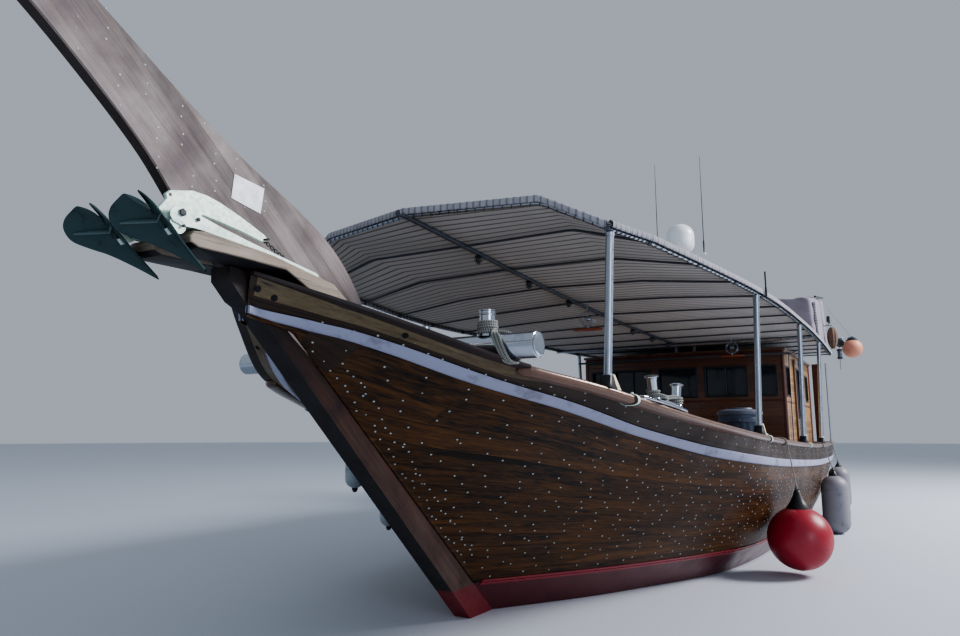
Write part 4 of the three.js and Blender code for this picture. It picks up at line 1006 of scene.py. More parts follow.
def makeAnchors():
    steel, zinc, irons, ribs = [], [], [], []
    middle, heel = anchor["middle"], anchor["heel"]
    near, far = anchor["channelFaces"]
    ahead = np.array([anchor["ridge"][0], 0, anchor["ridge"][1]])
    above = np.array([-ahead[2], 0, ahead[0]])
    tip = np.array([anchor["tip"][0], middle, anchor["tip"][1]])
    droop = np.radians(anchor["droopDegrees"])
    part = np.linspace(0, 1, len(anchor["wing"]))
    edge = cubicThrough(np.column_stack([part, anchor["wing"]]), np.linspace(0, 1, 60))
    inner = zipped(np.clip(edge[:, 0], 0, heel), 0)
    share = np.linspace(0, 1, 14)[:, None, None]
    flat = inner + share * (edge - inner)
    hollow = 0.035 * np.sin(np.pi * share[..., 0] * 0.9) * (flat[..., 0] / 0.75) ** 2
    for side in boatSides.values():
        # a wing: from the ridge out to its edge, drooping, and hollowed like a ploughshare
        outward = np.array([0, side * np.cos(droop), 0]) - above * np.sin(droop)
        spread = tip + flat[..., :1] * ahead + flat[..., 1:] * outward
        lower, upper = (spread + (hollow + lift)[..., None] * above for lift in (0, anchor["thick"]))
        steel += [surface(lower, flat), surface(upper, flat)]
        steel += [surface(np.stack([upper[i], lower[i]]), np.zeros((2, 60, 2))) for i in (0, -1)]
        # a stiffening rib under the wing, and the forged point
        start, end = tip + 0.5 * ahead - 0.004 * above, tip + 0.6 * ahead + 0.25 * outward + 0.012 * above
        ribs.append(sweep(np.linspace(start, end, 6), np.linspace(1, 0.5, 6), boxy(0.012, 0.05, 4, 10),
                          above))
    spine = tip + np.linspace(0.02, heel, 12)[:, None] * ahead + 0.008 * above
    steel.append(sweep(spine, np.linspace(0.008, 0.022, 12), circle(8), abeam))
    steel.append(rod(tip + 0.54 * ahead + 0.02 * above, (9.94, middle, 3.5), 0.026, 12))

    y0 = middle + anchor["shankHalf"]
    zinc.append(plate(anchor["shank"], 2 * anchor["shankHalf"], 0.004, (0, y0, 0)))
    eyeX, eyeZ = anchor["eye"]
    irons.append(rod((eyeX, y0 - 0.036, eyeZ), (eyeX, y0 + 0.002, eyeZ), 0.014, 12))
    for y in (near + 0.008, far):
        zinc.append(plate(anchor["channel"], 0.008, 0.002, (0, y, 0)))
    floorPath = [(x, middle, z + 0.006) for x, z in anchor["channel"][7:12]]
    zinc.append(sweep(smoothPath(floorPath, 30), 1.0, boxy(0.13, 0.006, 8, 12)))
    for (x, z), radius in anchor["pins"]:
        irons.append(rod((x, near - 0.014, z), (x, far + 0.014, z), radius * 0.55, 12))
        for y in (near - 0.016, far + 0.004):
            irons.append(rod((x, y, z), (x, y + 0.012, z), radius, 6))
    roller = [(0, 0), (0.04, 0), (0.05, 0.02), (0.038, 0.05), (0.05, 0.08), (0.04, 0.1), (0, 0.1)]
    irons.append(turned(roller, (9.86, 0.22, 3.625), abeam, 20))
    # a small cheek bracket below the channel's nose
    zinc.append(plate(smoothPath(anchor["bracket"], 14), 0.008, 0.002, (0, far - 0.01, 0)))
    # shackle and the short chain that holds the shank down
    irons.append(ringOf((9.035, middle, 3.632), (0.3, 0, 1), 0.03, 0.008))
    start, end = np.array((9.02, 0.26, 3.62)), np.array((8.78, 0.21, 3.55))
    for i in range(anchor["links"]):
        centre = start + (end - start) * (i + 0.5) / anchor["links"]
        irons.append(ringOf(centre, (0, 1, 0.2) if i % 2 else (0.3, 0.2, 1), 0.017, 0.0055, 12, 6))
    irons.append(rod((8.78, 0.21, 3.45), (8.78, 0.21, 3.565), 0.014, 10))
    makePair("plough", steel, anchorTealShade, "anchor_steel", "anchor")
    makePair("plough_ribs", ribs, anchorRibGrey, "anchor_steel")
    makePair("shank_and_channel", zinc, zincPlate, "galvanised_steel", "bow_roller", "anchor")
    makePair("anchor_bolts_and_chain", irons, darkPaint, "galvanised_steel")


makeHeadBoard()
makeAnchors()
print("head and anchors made")


def coil(base, radius, rise, turns, thick, start=0.0, drift=0.0):
    # rope turns round a post: a helix whose radius breathes a little from turn to turn
    part = np.linspace(0, 1, int(turns * 20))
    angle = start + 2 * np.pi * turns * part
    reach = radius + thick * (0.9 + 0.25 * np.sin(angle * 0.37 + start))
    path = zipped(reach * np.cos(angle) + drift * rise * part, reach * np.sin(angle), rise * part)
    return sweep(np.asarray(base) + path, thick, circle(8))


# Bitt: a polished tube across the bow, with stepped posts and a mooring rope's turns
bitt = {
    "x": 7.27, "z": 2.876, "radius": 0.12, "reach": 1.86, "postY": 1.32, "legY": 0.5, "pinY": 0.62,
    # radius, distance from the end of the tube's turned end
    "end": [(0, 0), (0.04, -0.004), (0.085, 0.0), (0.108, 0.006), (0.113, 0.014), (0.108, 0.02),
            (0.12, 0.024)],
    "post": [(0, 0), (0.1, 0), (0.1, 0.02), (0.078, 0.035), (0.075, 0.05), (0.075, 0.2), (0.08, 0.206),
             (0.08, 0.214), (0.075, 0.22), (0.075, 0.235), (0.08, 0.24), (0.08, 0.248), (0.072, 0.252),
             (0.02, 0.256), (0, 0.256)],
    # the rope's last turns, led down round the tube: x from its middle, y, height over its middle, and how
    # much of each turn's shift goes to y and to the height
    "bight": [(0.02, 1.4, 0.17, 0, -1), (0.13, 1.44, 0.1, 1, 0), (0.15, 1.5, -0.02, 1, 0),
              (0.08, 1.54, -0.14, 1, 0), (-0.06, 1.56, -0.14, 1, 0), (-0.14, 1.52, 0, 1, 0),
              (-0.1, 1.45, 0.13, 1, 0), (-0.03, 1.38, 0.16, 0, 0)],
}


def makeBitt():
    x, z, radius, reach = bitt["x"], bitt["z"], bitt["radius"], bitt["reach"]
    deck = deckAt(x)
    farEnd = [(r, 2 * reach - h) for r, h in bitt["end"][::-1]]
    steel = [turned(bitt["end"] + farEnd, (x, -reach, z), abeam, 48)]
    leg = [(0, 0), (0.12, 0), (0.12, 0.012), (0.072, 0.016), (0.07, 0.03), (0.07, z - deck)]
    for side in boatSides.values():
        steel.append(turned(bitt["post"], (x, side * bitt["postY"], z + 0.1), sides=32))
        steel.append(turned(leg, (x, side * bitt["legY"], deck), sides=32))
        pin = np.array([x - 0.01, side * bitt["pinY"], z + radius])
        steel.append(rod(pin - (0, 0, 0.02), pin + (0, 0, 0.12), 0.028))
        steel.append(rod(pin + (0, 0, 0.1), pin + (0, 0, 0.13), 0.045))
    makePiece("bitt_tube", steel, polishedTube, replaces=("bitt_beam",))
    turns = [coil((x, bitt["postY"], z + 0.115), 0.075, 0.13, 5.5, 0.013),
             coil((x, -bitt["postY"], z + 0.115), 0.075, 0.08, 3.5, 0.013, 1.0)]
    for shift in (0.0, 0.03, 0.06):
        bight = [(x + dx, y + sy * shift, z + dz + sz * shift) for dx, y, dz, sy, sz in bitt["bight"]]
        turns.append(sweep(smoothPath(bight, 40), 0.013, circle(8), abeam))
    makePiece("mooring_rope_turns", turns, rope)


# Twin bollards: two flanged posts leaning apart on one base that follows the rail
twin = {"x": 5.23, "half": 0.42, "width": 0.11, "spread": 0.215, "lean": 0.06, "rise": 0.25, "radius": 0.05}


def railMiddle(x):
    return sheerLine(x)[0] + lines["capOut"] - lines["capWidth"] / 2


def onRail(x, up=0.0):
    # the middle of the rail at x, with a height over the sheer
    return np.array([x, railMiddle(x), sheerLine(x)[1] + up])


def makeBollards():
    steel, turns = [], []
    middle, r = twin["x"], twin["radius"]
    x = np.linspace(middle - twin["half"], middle + twin["half"], 24)
    ends = np.maximum(np.clip(1 - np.abs(x - middle) / twin["half"], 0, 1) ** 0.25, 0.4)
    inset = x[4:-4]
    for station, width, section, up in ((x, ends, boxy(twin["width"] + 0.03, 0.04, 4, 20), 0.022),
                                        (inset, 1 + 0 * inset, boxy(0.085, 0.05, 3, 20), 0.05)):
        y = railMiddle(station)[:, None] + section[:, 0] * width[:, None]
        steel.append(loft(zipped(station[:, None], y, sheerLine(station)[1][:, None] + up + section[:, 1])))
    post = [(0, 0), (r + 0.02, 0), (r + 0.014, 0.02), (r, 0.035), (r, 0.2), (r + 0.004, 0.225),
            (r + 0.024, 0.235), (r + 0.024, 0.247), (r + 0.012, 0.253), (0, 0.255)]
    for way in (-1, 1):
        base = onRail(middle + way * twin["spread"], 0.045)
        steel.append(turned(post, base, (way * twin["lean"] / twin["rise"], 0, 1), 28))
        turns.append(coil(base + (0, 0, 0.025), r + 0.004, 0.07, 2.6, 0.012, way, way * 0.24))
    # two figure-of-eight turns between the posts
    _, y, z = onRail(middle, 0.09)
    angle = np.linspace(0, 2 * np.pi, 60)
    for lift in (0, 0.022):
        path = zipped(middle + (0.305 + lift) * np.cos(angle), y + 0.085 * np.sin(2 * angle),
                      z + lift + 0.012 * np.cos(angle * 3))
        turns.append(sweep(path, 0.012, circle(8)))
    makePair("twin_posts", steel, polishedTube, "stainless_tube", "twin_bollards")
    makePair("twin_post_rope", turns, rope, "awning_cloth")


makeBitt()
makeBollards()
print("deck metalwork made")


def bent(points, radius, steps=6):
    # a line with its corners rounded: near each, a curve from one side to the other through thirds
    points = np.asarray(points, float)
    part = np.linspace(0, 1, steps + 1)[:, None]
    path = [points[:1]]
    for before, corner, after in zip(points, points[1:], points[2:]):
        start, end = (corner + reach * min(radius / np.linalg.norm(reach), 0.5)
                      for reach in (before - corner, after - corner))
        path.append((1 - part) ** 2 * start + 2 * part * (1 - part) * corner + part**2 * end)
    return np.concatenate(path + [points[-1:]])


# Awning: ribbed canvas laced over a welded frame of tubes
awning = {
    # x, ridge height, knee's distance out and height, edge's distance out and height
    "stations": [
        (-9.7, 4.33, 1.45, 4.33, 2.85, 4.35), (-5.3, 4.23, 1.5, 4.23, 2.98, 4.24),
        (-1.7, 4.21, 1.5, 4.20, 2.99, 4.19), (2.24, 4.29, 1.5, 4.23, 2.88, 4.115),
        (6.8, 4.50, 1.45, 4.53, 2.12, 4.20),
    ],
    "aft": -9.7,
    "fore": 6.8,
    "rafters": [-9.7, *np.linspace(-8.7, 5.55, 13).tolist(), 6.8],
    "beam": -3.86,  # a stouter tube under the rafter before the wheelhouse
    "cornerBack": 0.285,  # ahead of the last rafter the corners are drawn back by this share of y
    "drop": 0.034,
    "tube": 0.026,
    "ridge": 0.03,
    "rafter": 0.015,
    "over": 0.045,
    "rib": 0.08,
    "cut": (6.08, 16.65),
    "area": 94.5,
    "laceStep": 0.13,
    "frontLaceStep": 0.1,
    "lamps": [5.2, 3.75, 2.3, 0.4, -0.9, -2.2, -3.4],
    # how far the hem stands out from the edge and above it, row by row round the tube
    "hem": [(0.0, 0.0065), (0.014, 0.032), (0.04, 0.044), (0.062, 0.034), (0.074, 0.006), (0.071, -0.022),
            (0.066, -0.04)],
}
mast = {"x": -4.9, "legY": 0.22, "leg": 0.038, "foot": 3.99, "top": 6.56, "reach": 0.62, "whipY": 0.58}


def drawnBack(x, y):
    # the awning's front is bowed: its corners lie further aft than its middle
    last, front = awning["rafters"][-2:]
    return x - awning["cornerBack"] * np.abs(y) * np.clip((x - last) / (front - last), 0, None)


def roofLine(x, share):
    # the roof's section at x; share runs from -1 at one edge through the ridge to 1 at the other
    ridge, kneeY, knee, edgeY, edge = columnsOf(awning["stations"], x)
    side, share = np.sign(share), np.abs(share)
    low, high = np.clip(share * 2, 0, 1), np.clip(share * 2 - 1, 0, 1)
    y = kneeY * low + (edgeY - kneeY) * high
    z = ridge + (knee - ridge) * low + (edge - knee) * high
    return side * y, z


def makeAwningFrame():
    tubes, ties, edges = [], [], []
    tube, step = awning["tube"], awning["laceStep"]
    drop = np.array([0, 0, awning["drop"]])
    x = np.linspace(awning["aft"], awning["fore"], 120)
    length = awning["fore"] - awning["aft"]
    for side in (-1, 1):
        y, z = roofLine(x, np.full(len(x), float(side)))
        path = zipped(drawnBack(x, y), y, z) - drop
        edges.append(sweep(path, tube, circle(14)))
        # the lacing goes round the tube once in each step
        turn = np.linspace(0, 1, int(length / step) * 9)
        angle = 2 * np.pi * length * turn / step
        centre = cubicThrough(np.column_stack([x, path]), awning["aft"] + length * turn)
        winding = zipped(0, 0.036 * np.sin(angle) + 0.006 * side, 0.034 * np.cos(angle) + 0.006)
        ties.append(sweep(centre + winding, 0.0045, circle(5)))
    ridgeX = np.append(x, 6.92)
    y, z = roofLine(ridgeX, np.zeros(len(ridgeX)))
    tubes.append(sweep(zipped(ridgeX, y, z) - drop, awning["ridge"], circle(14)))
    ridgeCap = [(0, 0), (0.034, 0), (0.036, 0.006), (0.036, 0.03), (0.028, 0.036), (0, 0.036)]
    tubes.append(turned(ridgeCap, (6.9, 0, z[-1] - 0.034), (1, 0, 0.02), 20))
    share = np.array([-1, -0.5, 0, 0.5, 1])
    for x0 in awning["rafters"]:
        y, z = roofLine(np.full(5, x0), share)
        line = bent(zipped(drawnBack(x0, y), y, z) - drop, 0.1)
        if x0 < awning["fore"]:
            tubes.append(sweep(line, awning["rafter"], circle(12)))
        else:
            edges.append(sweep(line, tube, circle(12)))
            step = awning["frontLaceStep"]
            length = runLength(line)[-1]
            turn = np.linspace(0.06, length - 0.06, int(length / step) * 9)
            angle = 2 * np.pi * turn / step
            winding = zipped(0.035 * np.cos(angle) + 0.006, 0, 0.034 * np.sin(angle) + 0.006)
            ties.append(sweep(pointsAlong(line, turn) + winding, 0.0045, circle(5)))
        # collars where a rafter meets the ridge and the edges
        for spot in (line[0], line[len(line) // 2], line[-1]):
            tubes.append(rod(spot - (0.035, 0, 0), spot + (0.035, 0, 0), 0.034, 12))
    y, z = roofLine(np.full(5, awning["beam"]), share)
    beam = bent(zipped(awning["beam"], y, z - 2 * awning["drop"] - 0.012), 0.1)
    edges.append(sweep(beam, 0.03, circle(14)))
    # the ridge and rafters under the canvas are dark with painted shade; the edge tubes stay bright
    inner = makePiece("awning_tubes", tubes, shadedTube, replaces=("awning_frame",))
    outer = makePiece("awning_edge_tubes", edges, brushedTube, replaces=("awning_frame",))
    return [inner, outer], makePiece("awning_lacing", ties, darkCord)


def makeCanvas():
    # the canvas: the roof's section along x, with a rib every 80 mm and a hole for each leg of the mast
    start, end, legX, legY, holeX = awning["aft"] - 0.06, awning["fore"] + 0.04, mast["x"], mast["legY"], 0.06
    holeShare = np.array([legY - holeX, legY + holeX]) / 3.0
    x = np.unique(np.concatenate([np.linspace(start, end, 623), [legX - holeX, legX + holeX]]))
    share = np.unique(np.concatenate([np.linspace(-1, 1, 41), holeShare, -holeShare]))
    gridX, gridShare = np.meshgrid(x, share, indexing="ij")
    y, z = roofLine(gridX, gridShare)
    y = y + np.sign(gridShare) * awning["over"] * np.clip(np.abs(gridShare) * 2 - 1, 0, 1)
    z = z + 0.0022 + 0.0018 * np.sin(2 * np.pi * gridX / awning["rib"])
    points = zipped(drawnBack(gridX, y), y, z)
    canvas = surface(points, zipped(gridX, y))
    quads = canvas["faces"][0]
    middle = canvas["points"][quads].mean(1)
    nearLeg = (np.abs(middle[:, 0] - legX) < holeX) & (np.abs(np.abs(middle[:, 1]) - legY) < 0.06)
    canvas["faces"] = [quads[~nearLeg]]
    patches = [canvas]
    for side in (-1, 1):
        # each leg's hole: the square left in the grid is drawn in to a circle
        rows = np.flatnonzero(np.abs(x - legX) < holeX + 1e-6)
        columns = np.flatnonzero(np.abs(side * share - holeShare.mean()) < np.ptp(holeShare) / 2 + 1e-6)
        square = np.concatenate([points[rows, columns[0]], points[rows[-1], columns][1:],
                                 points[rows[::-1], columns[-1]][1:], points[rows[0], columns[::-1]][1:]])
        centre = np.array([legX, side * legY])
        ring = square.copy()
        ring[:, :2] = centre + unit(square[:, :2] - centre) * 0.044
        patches.append(surface(np.stack([square, ring]), np.stack([square[:, :2], ring[:, :2]])))
    roof = makePiece("awning_cloth", patches, awningCloth, replaces=("awning_canvas",),
                     thick=0.004)
    # a hem is rolled round both edge tubes and the front tube, drawn up at each eyelet
    strips = []
    along, across = np.linspace(start, end, 1100), np.linspace(-1, 1, 440)
    for x, share, side, step in ((along, np.full(1100, -1.0), -1, awning["laceStep"]),
                                 (along, np.full(1100, 1.0), 1, awning["laceStep"]),
                                 (np.full(440, end), across, 0, awning["frontLaceStep"])):
        y, z = roofLine(x, share)
        pucker = 0.007 * np.abs(np.sin(np.pi * (x + y) / step))
        sheet = []
        for row, (out, up) in enumerate(awning["hem"]):
            draw = pucker * (row > 1)
            out = out - draw - (0 if side else awning["over"])
            sheet.append(zipped(drawnBack(x, y) + (0 if side else out), y + side * out, z + up + draw))
        uv = np.broadcast_to((x if side else y)[None, :, None], (len(sheet), len(x), 2))
        strips.append(surface(np.stack(sheet), uv))
    valance = makePiece("awning_valance", strips, edgeCloth, thick=0.003)


# Posts: each stands on the rail in a dark boot, with a pale gusset aft of it and a clamp round the rail
posts = {
    "x": [6.16, 2.24, -1.7, -5.28],
    "radius": 0.042,
    "gusset": 0.2,
    # half length, half width and height over the rail of the boot, from its foot up
    "boot": [(0.12, 0.075, -0.02), (0.12, 0.075, 0.012), (0.085, 0.066, 0.05), (0.06, 0.06, 0.1),
             (0.055, 0.056, 0.115)],
    "clampBehind": 0.31,
    "clamped": 3,  # the aftmost post has none
}


def makePosts():
    r, boxyUnit = posts["radius"], boxy(1, 1, 5, 20)
    for number, x in enumerate(posts["x"], 1):
        foot = onRail(x)
        station = x
        for _ in range(20):  # the station whose edge is drawn back to the post
            y, z = roofLine(station, 1.0)
            station += x - drawnBack(station, y)
        axis = np.array([x, y, z - awning["drop"] - 0.03]) - foot
        length = np.linalg.norm(axis)
        profile = [(0, 0.02), (r + 0.008, 0.02), (r + 0.008, 0.13), (r, 0.135), (r, length - 0.05),
                   (r + 0.005, length - 0.045), (r + 0.005, length - 0.008), (r - 0.01, length), (0, length)]
        tube = [turned(profile, foot, axis, 28)]
        boot = []
        for half, wide, up in posts["boot"]:
            along = x + boxyUnit[:, 0] * 2 * half
            boot.append(zipped(along, foot[1] + boxyUnit[:, 1] * 2 * wide, sheerLine(along)[1] + up))
        # the gusset's corners: distance from the post, height over the rail
        far = -0.09 - posts["gusset"]
        corners = [(x + away, sheerLine(x + away)[1] + up)
                   for away, up in ((-0.05, 0.15), (-0.09, 0.15), (far, 0.02), (far, -0.01), (-0.05, -0.01))]
        gusset = [plate(corners, 0.1, 0.006, (0, foot[1] + 0.05, 0))]
        # the clamp follows the rail's own section, a little larger
        slope = (sheerLine(x - 0.3)[1] - sheerLine(x + 0.3)[1]) / 0.6  # the rail falls aft
        middle = onRail(x - posts["clampBehind"], -0.05)
        loop = boxy(0.205, 0.115, rail["roundPower"], 32)
        band = middle + np.column_stack([-slope * loop[:, 1], loop])
        clamp = [sweep(band, 1.0, boxy(0.008, 0.07, 6, 12), forward),
                 rod(middle + (0, 0.03, 0.05), middle + (0, 0.03, 0.075), 0.016)]
        makePair(f"post_tube_{number}", tube, brushedTube, "stainless_tube", f"awning_post_{number}")
        makePair(f"post_boot_{number}", [loft(boot)], blackPlastic, "bin_plastic")
        makePair(f"post_gusset_{number}", gusset, creamPaint, "stripe_paint")
        if number <= posts["clamped"]:
            makePair(f"post_clamp_{number}", clamp, zincPlate, "stainless_tube")


# Lamps under the ridge, in cages, and two round cage fans, each over an oval wooden disc
lamps = {
    "size": 0.085,
    # profiles for a lamp of size 1
    "base": [(0, 0), (0.5, 0), (0.55, -0.1), (0.55, -0.3), (0.4, -0.36), (0, -0.36)],
    "glass": [(0.4, -0.3), (0.42, -0.5), (0.36, -0.85), (0.2, -1.05), (0, -1.1)],
    "fans": [(1.92, 0.17, 4.2), (-3.6, 1.37, 4.17)],  # x, y, height it hangs from
    "fanHeight": 3.97,
    "fanHub": [(0, 0), (0.04, 0), (0.045, 0.02), (0.045, 0.06), (0.03, 0.09), (0, 0.095)],
}


def makeLamps():
    base = [turned(lamps["base"], sides=20), ringOf((0, 0, -0.75), upright, 0.57, 0.04, 20, 6)]
    arch = np.linspace(0, np.pi, 14)[:, None]
    for angle in (0, np.pi / 3, 2 * np.pi / 3):
        way = np.array([np.cos(angle), np.sin(angle), 0])
        hoop = np.cos(arch) * 0.62 * way + np.sin(arch) * (0, 0, -0.95) + (0, 0, -0.3)
        base.append(sweep(hoop, 0.04, circle(6), np.cross(way, upright)))
    glass = [turned(lamps["glass"], sides=20)]
    cages, glasses, discs, fans = [], [], [], []
    for x in awning["lamps"]:
        top = (x, 0, roofLine(x, 0.0)[1] - awning["drop"] - awning["ridge"])
        for piece, parts in ((cages, base), (glasses, glass)):
            piece += [{**p, "points": p["points"] * lamps["size"] + top} for p in parts]
    for x, y, top in lamps["fans"]:
        centre = np.array([x, y, lamps["fanHeight"]])
        fans.append(rod(centre + (0, 0, 0.12), (x, y, top), 0.012, 8))
        for push, radius in ((-0.04, 0.12), (0, 0.135), (0.04, 0.12)):
            fans.append(ringOf(centre + (push, 0, 0), forward, radius, 0.005, 28, 6))
        for angle in np.linspace(0, np.pi, 7)[:-1]:
            reach = 0.128 * np.array([0, np.cos(angle), np.sin(angle)])
            fans.append(rod(centre - reach, centre + reach, 0.003, 6))
        fans.append(turned(lamps["fanHub"], centre - (0.04, 0, 0), forward, 16))
        fans.append(rod(centre - (0, 0, 0.16), centre - (0, 0, 0.1), 0.02, 10))
        oval = circle(36)[:-1] * (0.13, 0.26)
        discs.append(plate(oval, 0.02, 0.006, centre - (0, 0, 0.19), forward, abeam))
    makePiece("caged_fans", fans, brushedTube)
    makePiece("lamp_cages", cages, darkPaint)
    makePiece("lamp_glass", glasses, lampGlass)
    makePiece("lamp_discs", discs, discPaint)


frameTubes, frameLacing = makeAwningFrame()
makeCanvas()
makePosts()
makeLamps()
print("awning made")


# Wheelhouse trim: frames round the panes, side glass, blinds, corner posts, pipes and door handles
house = {
    "front": -4.2, "bow": 0.13, "aft": -8.9, "half": 2.33, "sill": 2.93, "lintel": 3.60,
    "frontPanes": [(-2.18, -1.74), (-1.56, -0.64), (-0.45, 0.45), (0.64, 1.56), (1.74, 2.18)],
    "sashes": (-1.1, 1.1),
    "sashThick": 0.014,
    "sidePanes": [(-5.0, -4.48), (-8.5, -8.0)],
    "aftPanes": [(-1.7, -0.7), (0.7, 1.7)],
    "doorLight": (-6.5, -6.0, 2.45, 3.65),
    "doorFace": 2.354,
    "glassY": 2.3,
    "frameWide": 0.05,
    "frameProud": {"end": 0.034, "side": 0.03, "door": 0.02},
    "blindsBack": 0.13,  # behind the front wall's face
    "blindRows": (2.9, 3.6, 0.045),  # from, to, step
    "handleX": -5.87,
    "handle": [(2.37, 2.2), (2.405, 2.2), (2.405, 2.36), (2.37, 2.36)],  # y, z
    "mouldings": [(3.895, 0.05), (3.70, 0.02), (2.82, 0.026), (1.60, 0.05)],  # height, size
    "belt": (2.80, 0.024),
    "beltRuns": [(-4.2, -5.72), (-7.55, -8.9)],
    "cornerPost": (0.04, 3.925),  # radius, top
    "pipe": (3.84, 0.1, 0.024),  # height, distance from the wall, radius
    "pipeClips": (-1.65, -0.5, 0.55, 1.65),
    "cable": [(-4.95, 2.6, 4.0), (-4.95, 2.36, 3.9), (-4.95, 2.352, 2.7), (-4.95, 2.352, 1.7)],
}


def houseFront(y):
    # the front wall's face bows forward: bow (1 - (y / half) squared)
    return house["front"] + house["bow"] * (1 - (np.asarray(y) / house["half"]) ** 2)


def paneFrame(a0, a1, z0, z1, proud, normal, wall):
    # a frame round an opening: a is y on an end wall and x on a side wall, whose face lies at wall
    middle = (a0, (z0 + z1) / 2)
    line = bent([middle, (a0, z0), (a1, z0), (a1, z1), (a0, z1), middle], 0.03, 4)
    walked = runLength(line)
    a, z = pointsAlong(line, np.unique(np.concatenate([walked, np.linspace(0, walked[-1], 60)]))).T
    face = wall(a) if callable(wall) else wall
    path = zipped(face, a, z) if normal[0] else zipped(a, face, z)
    return sweep(path, 1.0, boxy(house["frameWide"], proud, 5, 16), normal)


def pane(x0, x1, z0, z1, y, grow):
    # a sheet of glass let into its frame all round
    return block((x0 - grow, y - grow, z0 - grow), (x1 + grow, y + grow, z1 + grow), 0.001)


def makeWheelhouse():
    sill, lintel, half, proud = (house[key] for key in ("sill", "lintel", "half", "frameProud"))
    frames, panes = [], []
    for a0, a1 in house["frontPanes"]:
        frames.append(paneFrame(a0, a1, sill, lintel, proud["end"], forward, frontTrim))
    for a0, a1 in house["aftPanes"]:
        frames.append(paneFrame(a0, a1, sill, lintel, proud["end"], (-1, 0, 0), house["aft"] - 0.002))
    # the wide front panes are sashes: a thin upright divides each
    for y in house["sashes"]:
        x = houseFront(y) - 0.02
        frames.append(rod((x, y, sill), (x, y, lintel), house["sashThick"], 8))
    for side in boatSides.values():
        for x0, x1 in house["sidePanes"]:
            frames.append(paneFrame(x0, x1, sill, lintel, proud["side"], (0, side, 0), side * (half + 0.001)))
            panes.append(pane(x0, x1, sill, lintel, side * house["glassY"], 0.004))
    makePiece("window_frames", frames, darkJoinery)
    makePiece("side_window_glass", panes, smokedGlass)
    # blinds hang behind the front panes
    y = np.linspace(-2.15, 2.15, 40)
    slat = boxy(0.03, 0.003, 4, 8) @ np.array([[0.8, 0.6], [-0.6, 0.8]])
    back = houseFront(y) - house["blindsBack"]
    blinds = [sweep(zipped(back, y, z), 1.0, slat) for z in np.arange(*house["blindRows"])]
    makePiece("window_blinds", blinds, blindSlat)

    # a skirting, the cornice under the roof, two belt mouldings and the corner posts follow the plan
    y = np.linspace(-half, half, 60)
    moulding = boxy(1, 1.3, 4, 12)
    trim = [sweep(zipped(houseFront(y) + 0.004, y, z), size, moulding) for z, size in house["mouldings"]]
    beltZ, beltSize = house["belt"]
    postRadius, postTop = house["cornerPost"]
    for side in boatSides.values():
        postY, beltY = side * (half - 0.005), side * (half + 0.006)
        for x, wall in ((house["front"] - 0.005, house["front"]), (house["aft"] + 0.005, house["aft"])):
            trim.append(rod((x, postY, deckAt(wall) + 0.005), (x, postY, postTop), postRadius))
        for x0, x1 in house["beltRuns"]:
            trim.append(sweep([(x0, beltY, beltZ), (x1, beltY, beltZ)], beltSize, moulding))
    makePiece("wheelhouse_mouldings", trim, columnTimber)

    # the doors' glass and handles slide with them
    for word, side in boatSides.items():
        light, face = house["doorLight"], house["doorFace"]
        body = f"side_door_{word}"
        glass = [pane(*light, side * face, 0.003)]
        makePiece(f"door_glass_{word}", glass, smokedGlass, body=body)
        framed = [paneFrame(*light, proud["door"], (0, side, 0), side * (face + 0.02))]
        makePiece(f"door_frame_{word}", framed, darkJoinery, body=body)
        handle = [(house["handleX"], side * y, z) for y, z in house["handle"]]
        grip = sweep(bent(handle, 0.02), 0.008, circle(10), forward)
        makePiece(f"door_handle_{word}", [grip], polishedTube, body=body)

    # a pipe across the front under the eaves, and a cable down the port side
    y = np.linspace(-2.5, 2.5, 50)
    z, out, radius = house["pipe"]
    pipe = [sweep(zipped(houseFront(np.clip(y, -half, half)) + out, y, z), radius, circle(12))]
    for y0 in house["pipeClips"]:
        x = houseFront(y0)
        pipe.append(rod((x, y0, z), (x + out, y0, z), 0.012, 8))
        pipe.append(ringOf((x + out, y0, z), abeam, radius + 0.002, 0.006, 16, 6))
    # the pipe's dark grey is painted shade under the eaves
    makePiece("eaves_pipe", pipe, shadedTube)
    cable = sweep(bent(house["cable"], 0.05), 0.009, circle(8), forward)
    makePiece("house_cable", [cable], blackPlastic)


def frontTrim(y):
    return houseFront(y) + 0.002


# Mast: two flanged legs, a crosstree, aerials, and the dome on its plate; profiles are (radius, height)
mastParts = {
    # a rubber boot closes the canvas round each leg
    "boot": [(0.09, 0), (0.088, 0.003), (0.05, 0.025), (0.042, 0.07), (0.04, 0.085), (0.0385, 0.085)],
    "whipFoot": [(0, 0), (0.024, 0), (0.024, 0.02), (0.018, 0.03), (0.02, 0.2), (0.022, 0.3), (0.012, 0.33),
                 (0, 0.33)],
    "whip": [(0, 0), (0.011, 0), (0.0095, 0.9), (0.007, 1.6), (0.005, 2.205), (0, 2.21)],
    # a short aerial clipped to the awning's port edge
    "shortAerial": [(0, 0), (0.016, 0), (0.016, 0.12), (0.012, 0.14), (0.012, 0.36), (0, 0.37)],
    "shortAerialFoot": (2.05, 2.99, 4.06),
    # the dome: a tapered foot and a lip at the joint, under a drawn-up half ellipse
    "domeFoot": [(0, 0.0025), (0.12, 0.0025), (0.12, 0.06), (0.22, 0.062), (0.24, 0.07), (0.27, 0.1),
                 (0.31, 0.14), (0.336, 0.2), (0.345, 0.24), (0.345, 0.262), (0.338, 0.265), (0.338, 0.272),
                 (0.345, 0.276),
                 (0.345, 0.48)],
    "domeRise": 0.31,
}


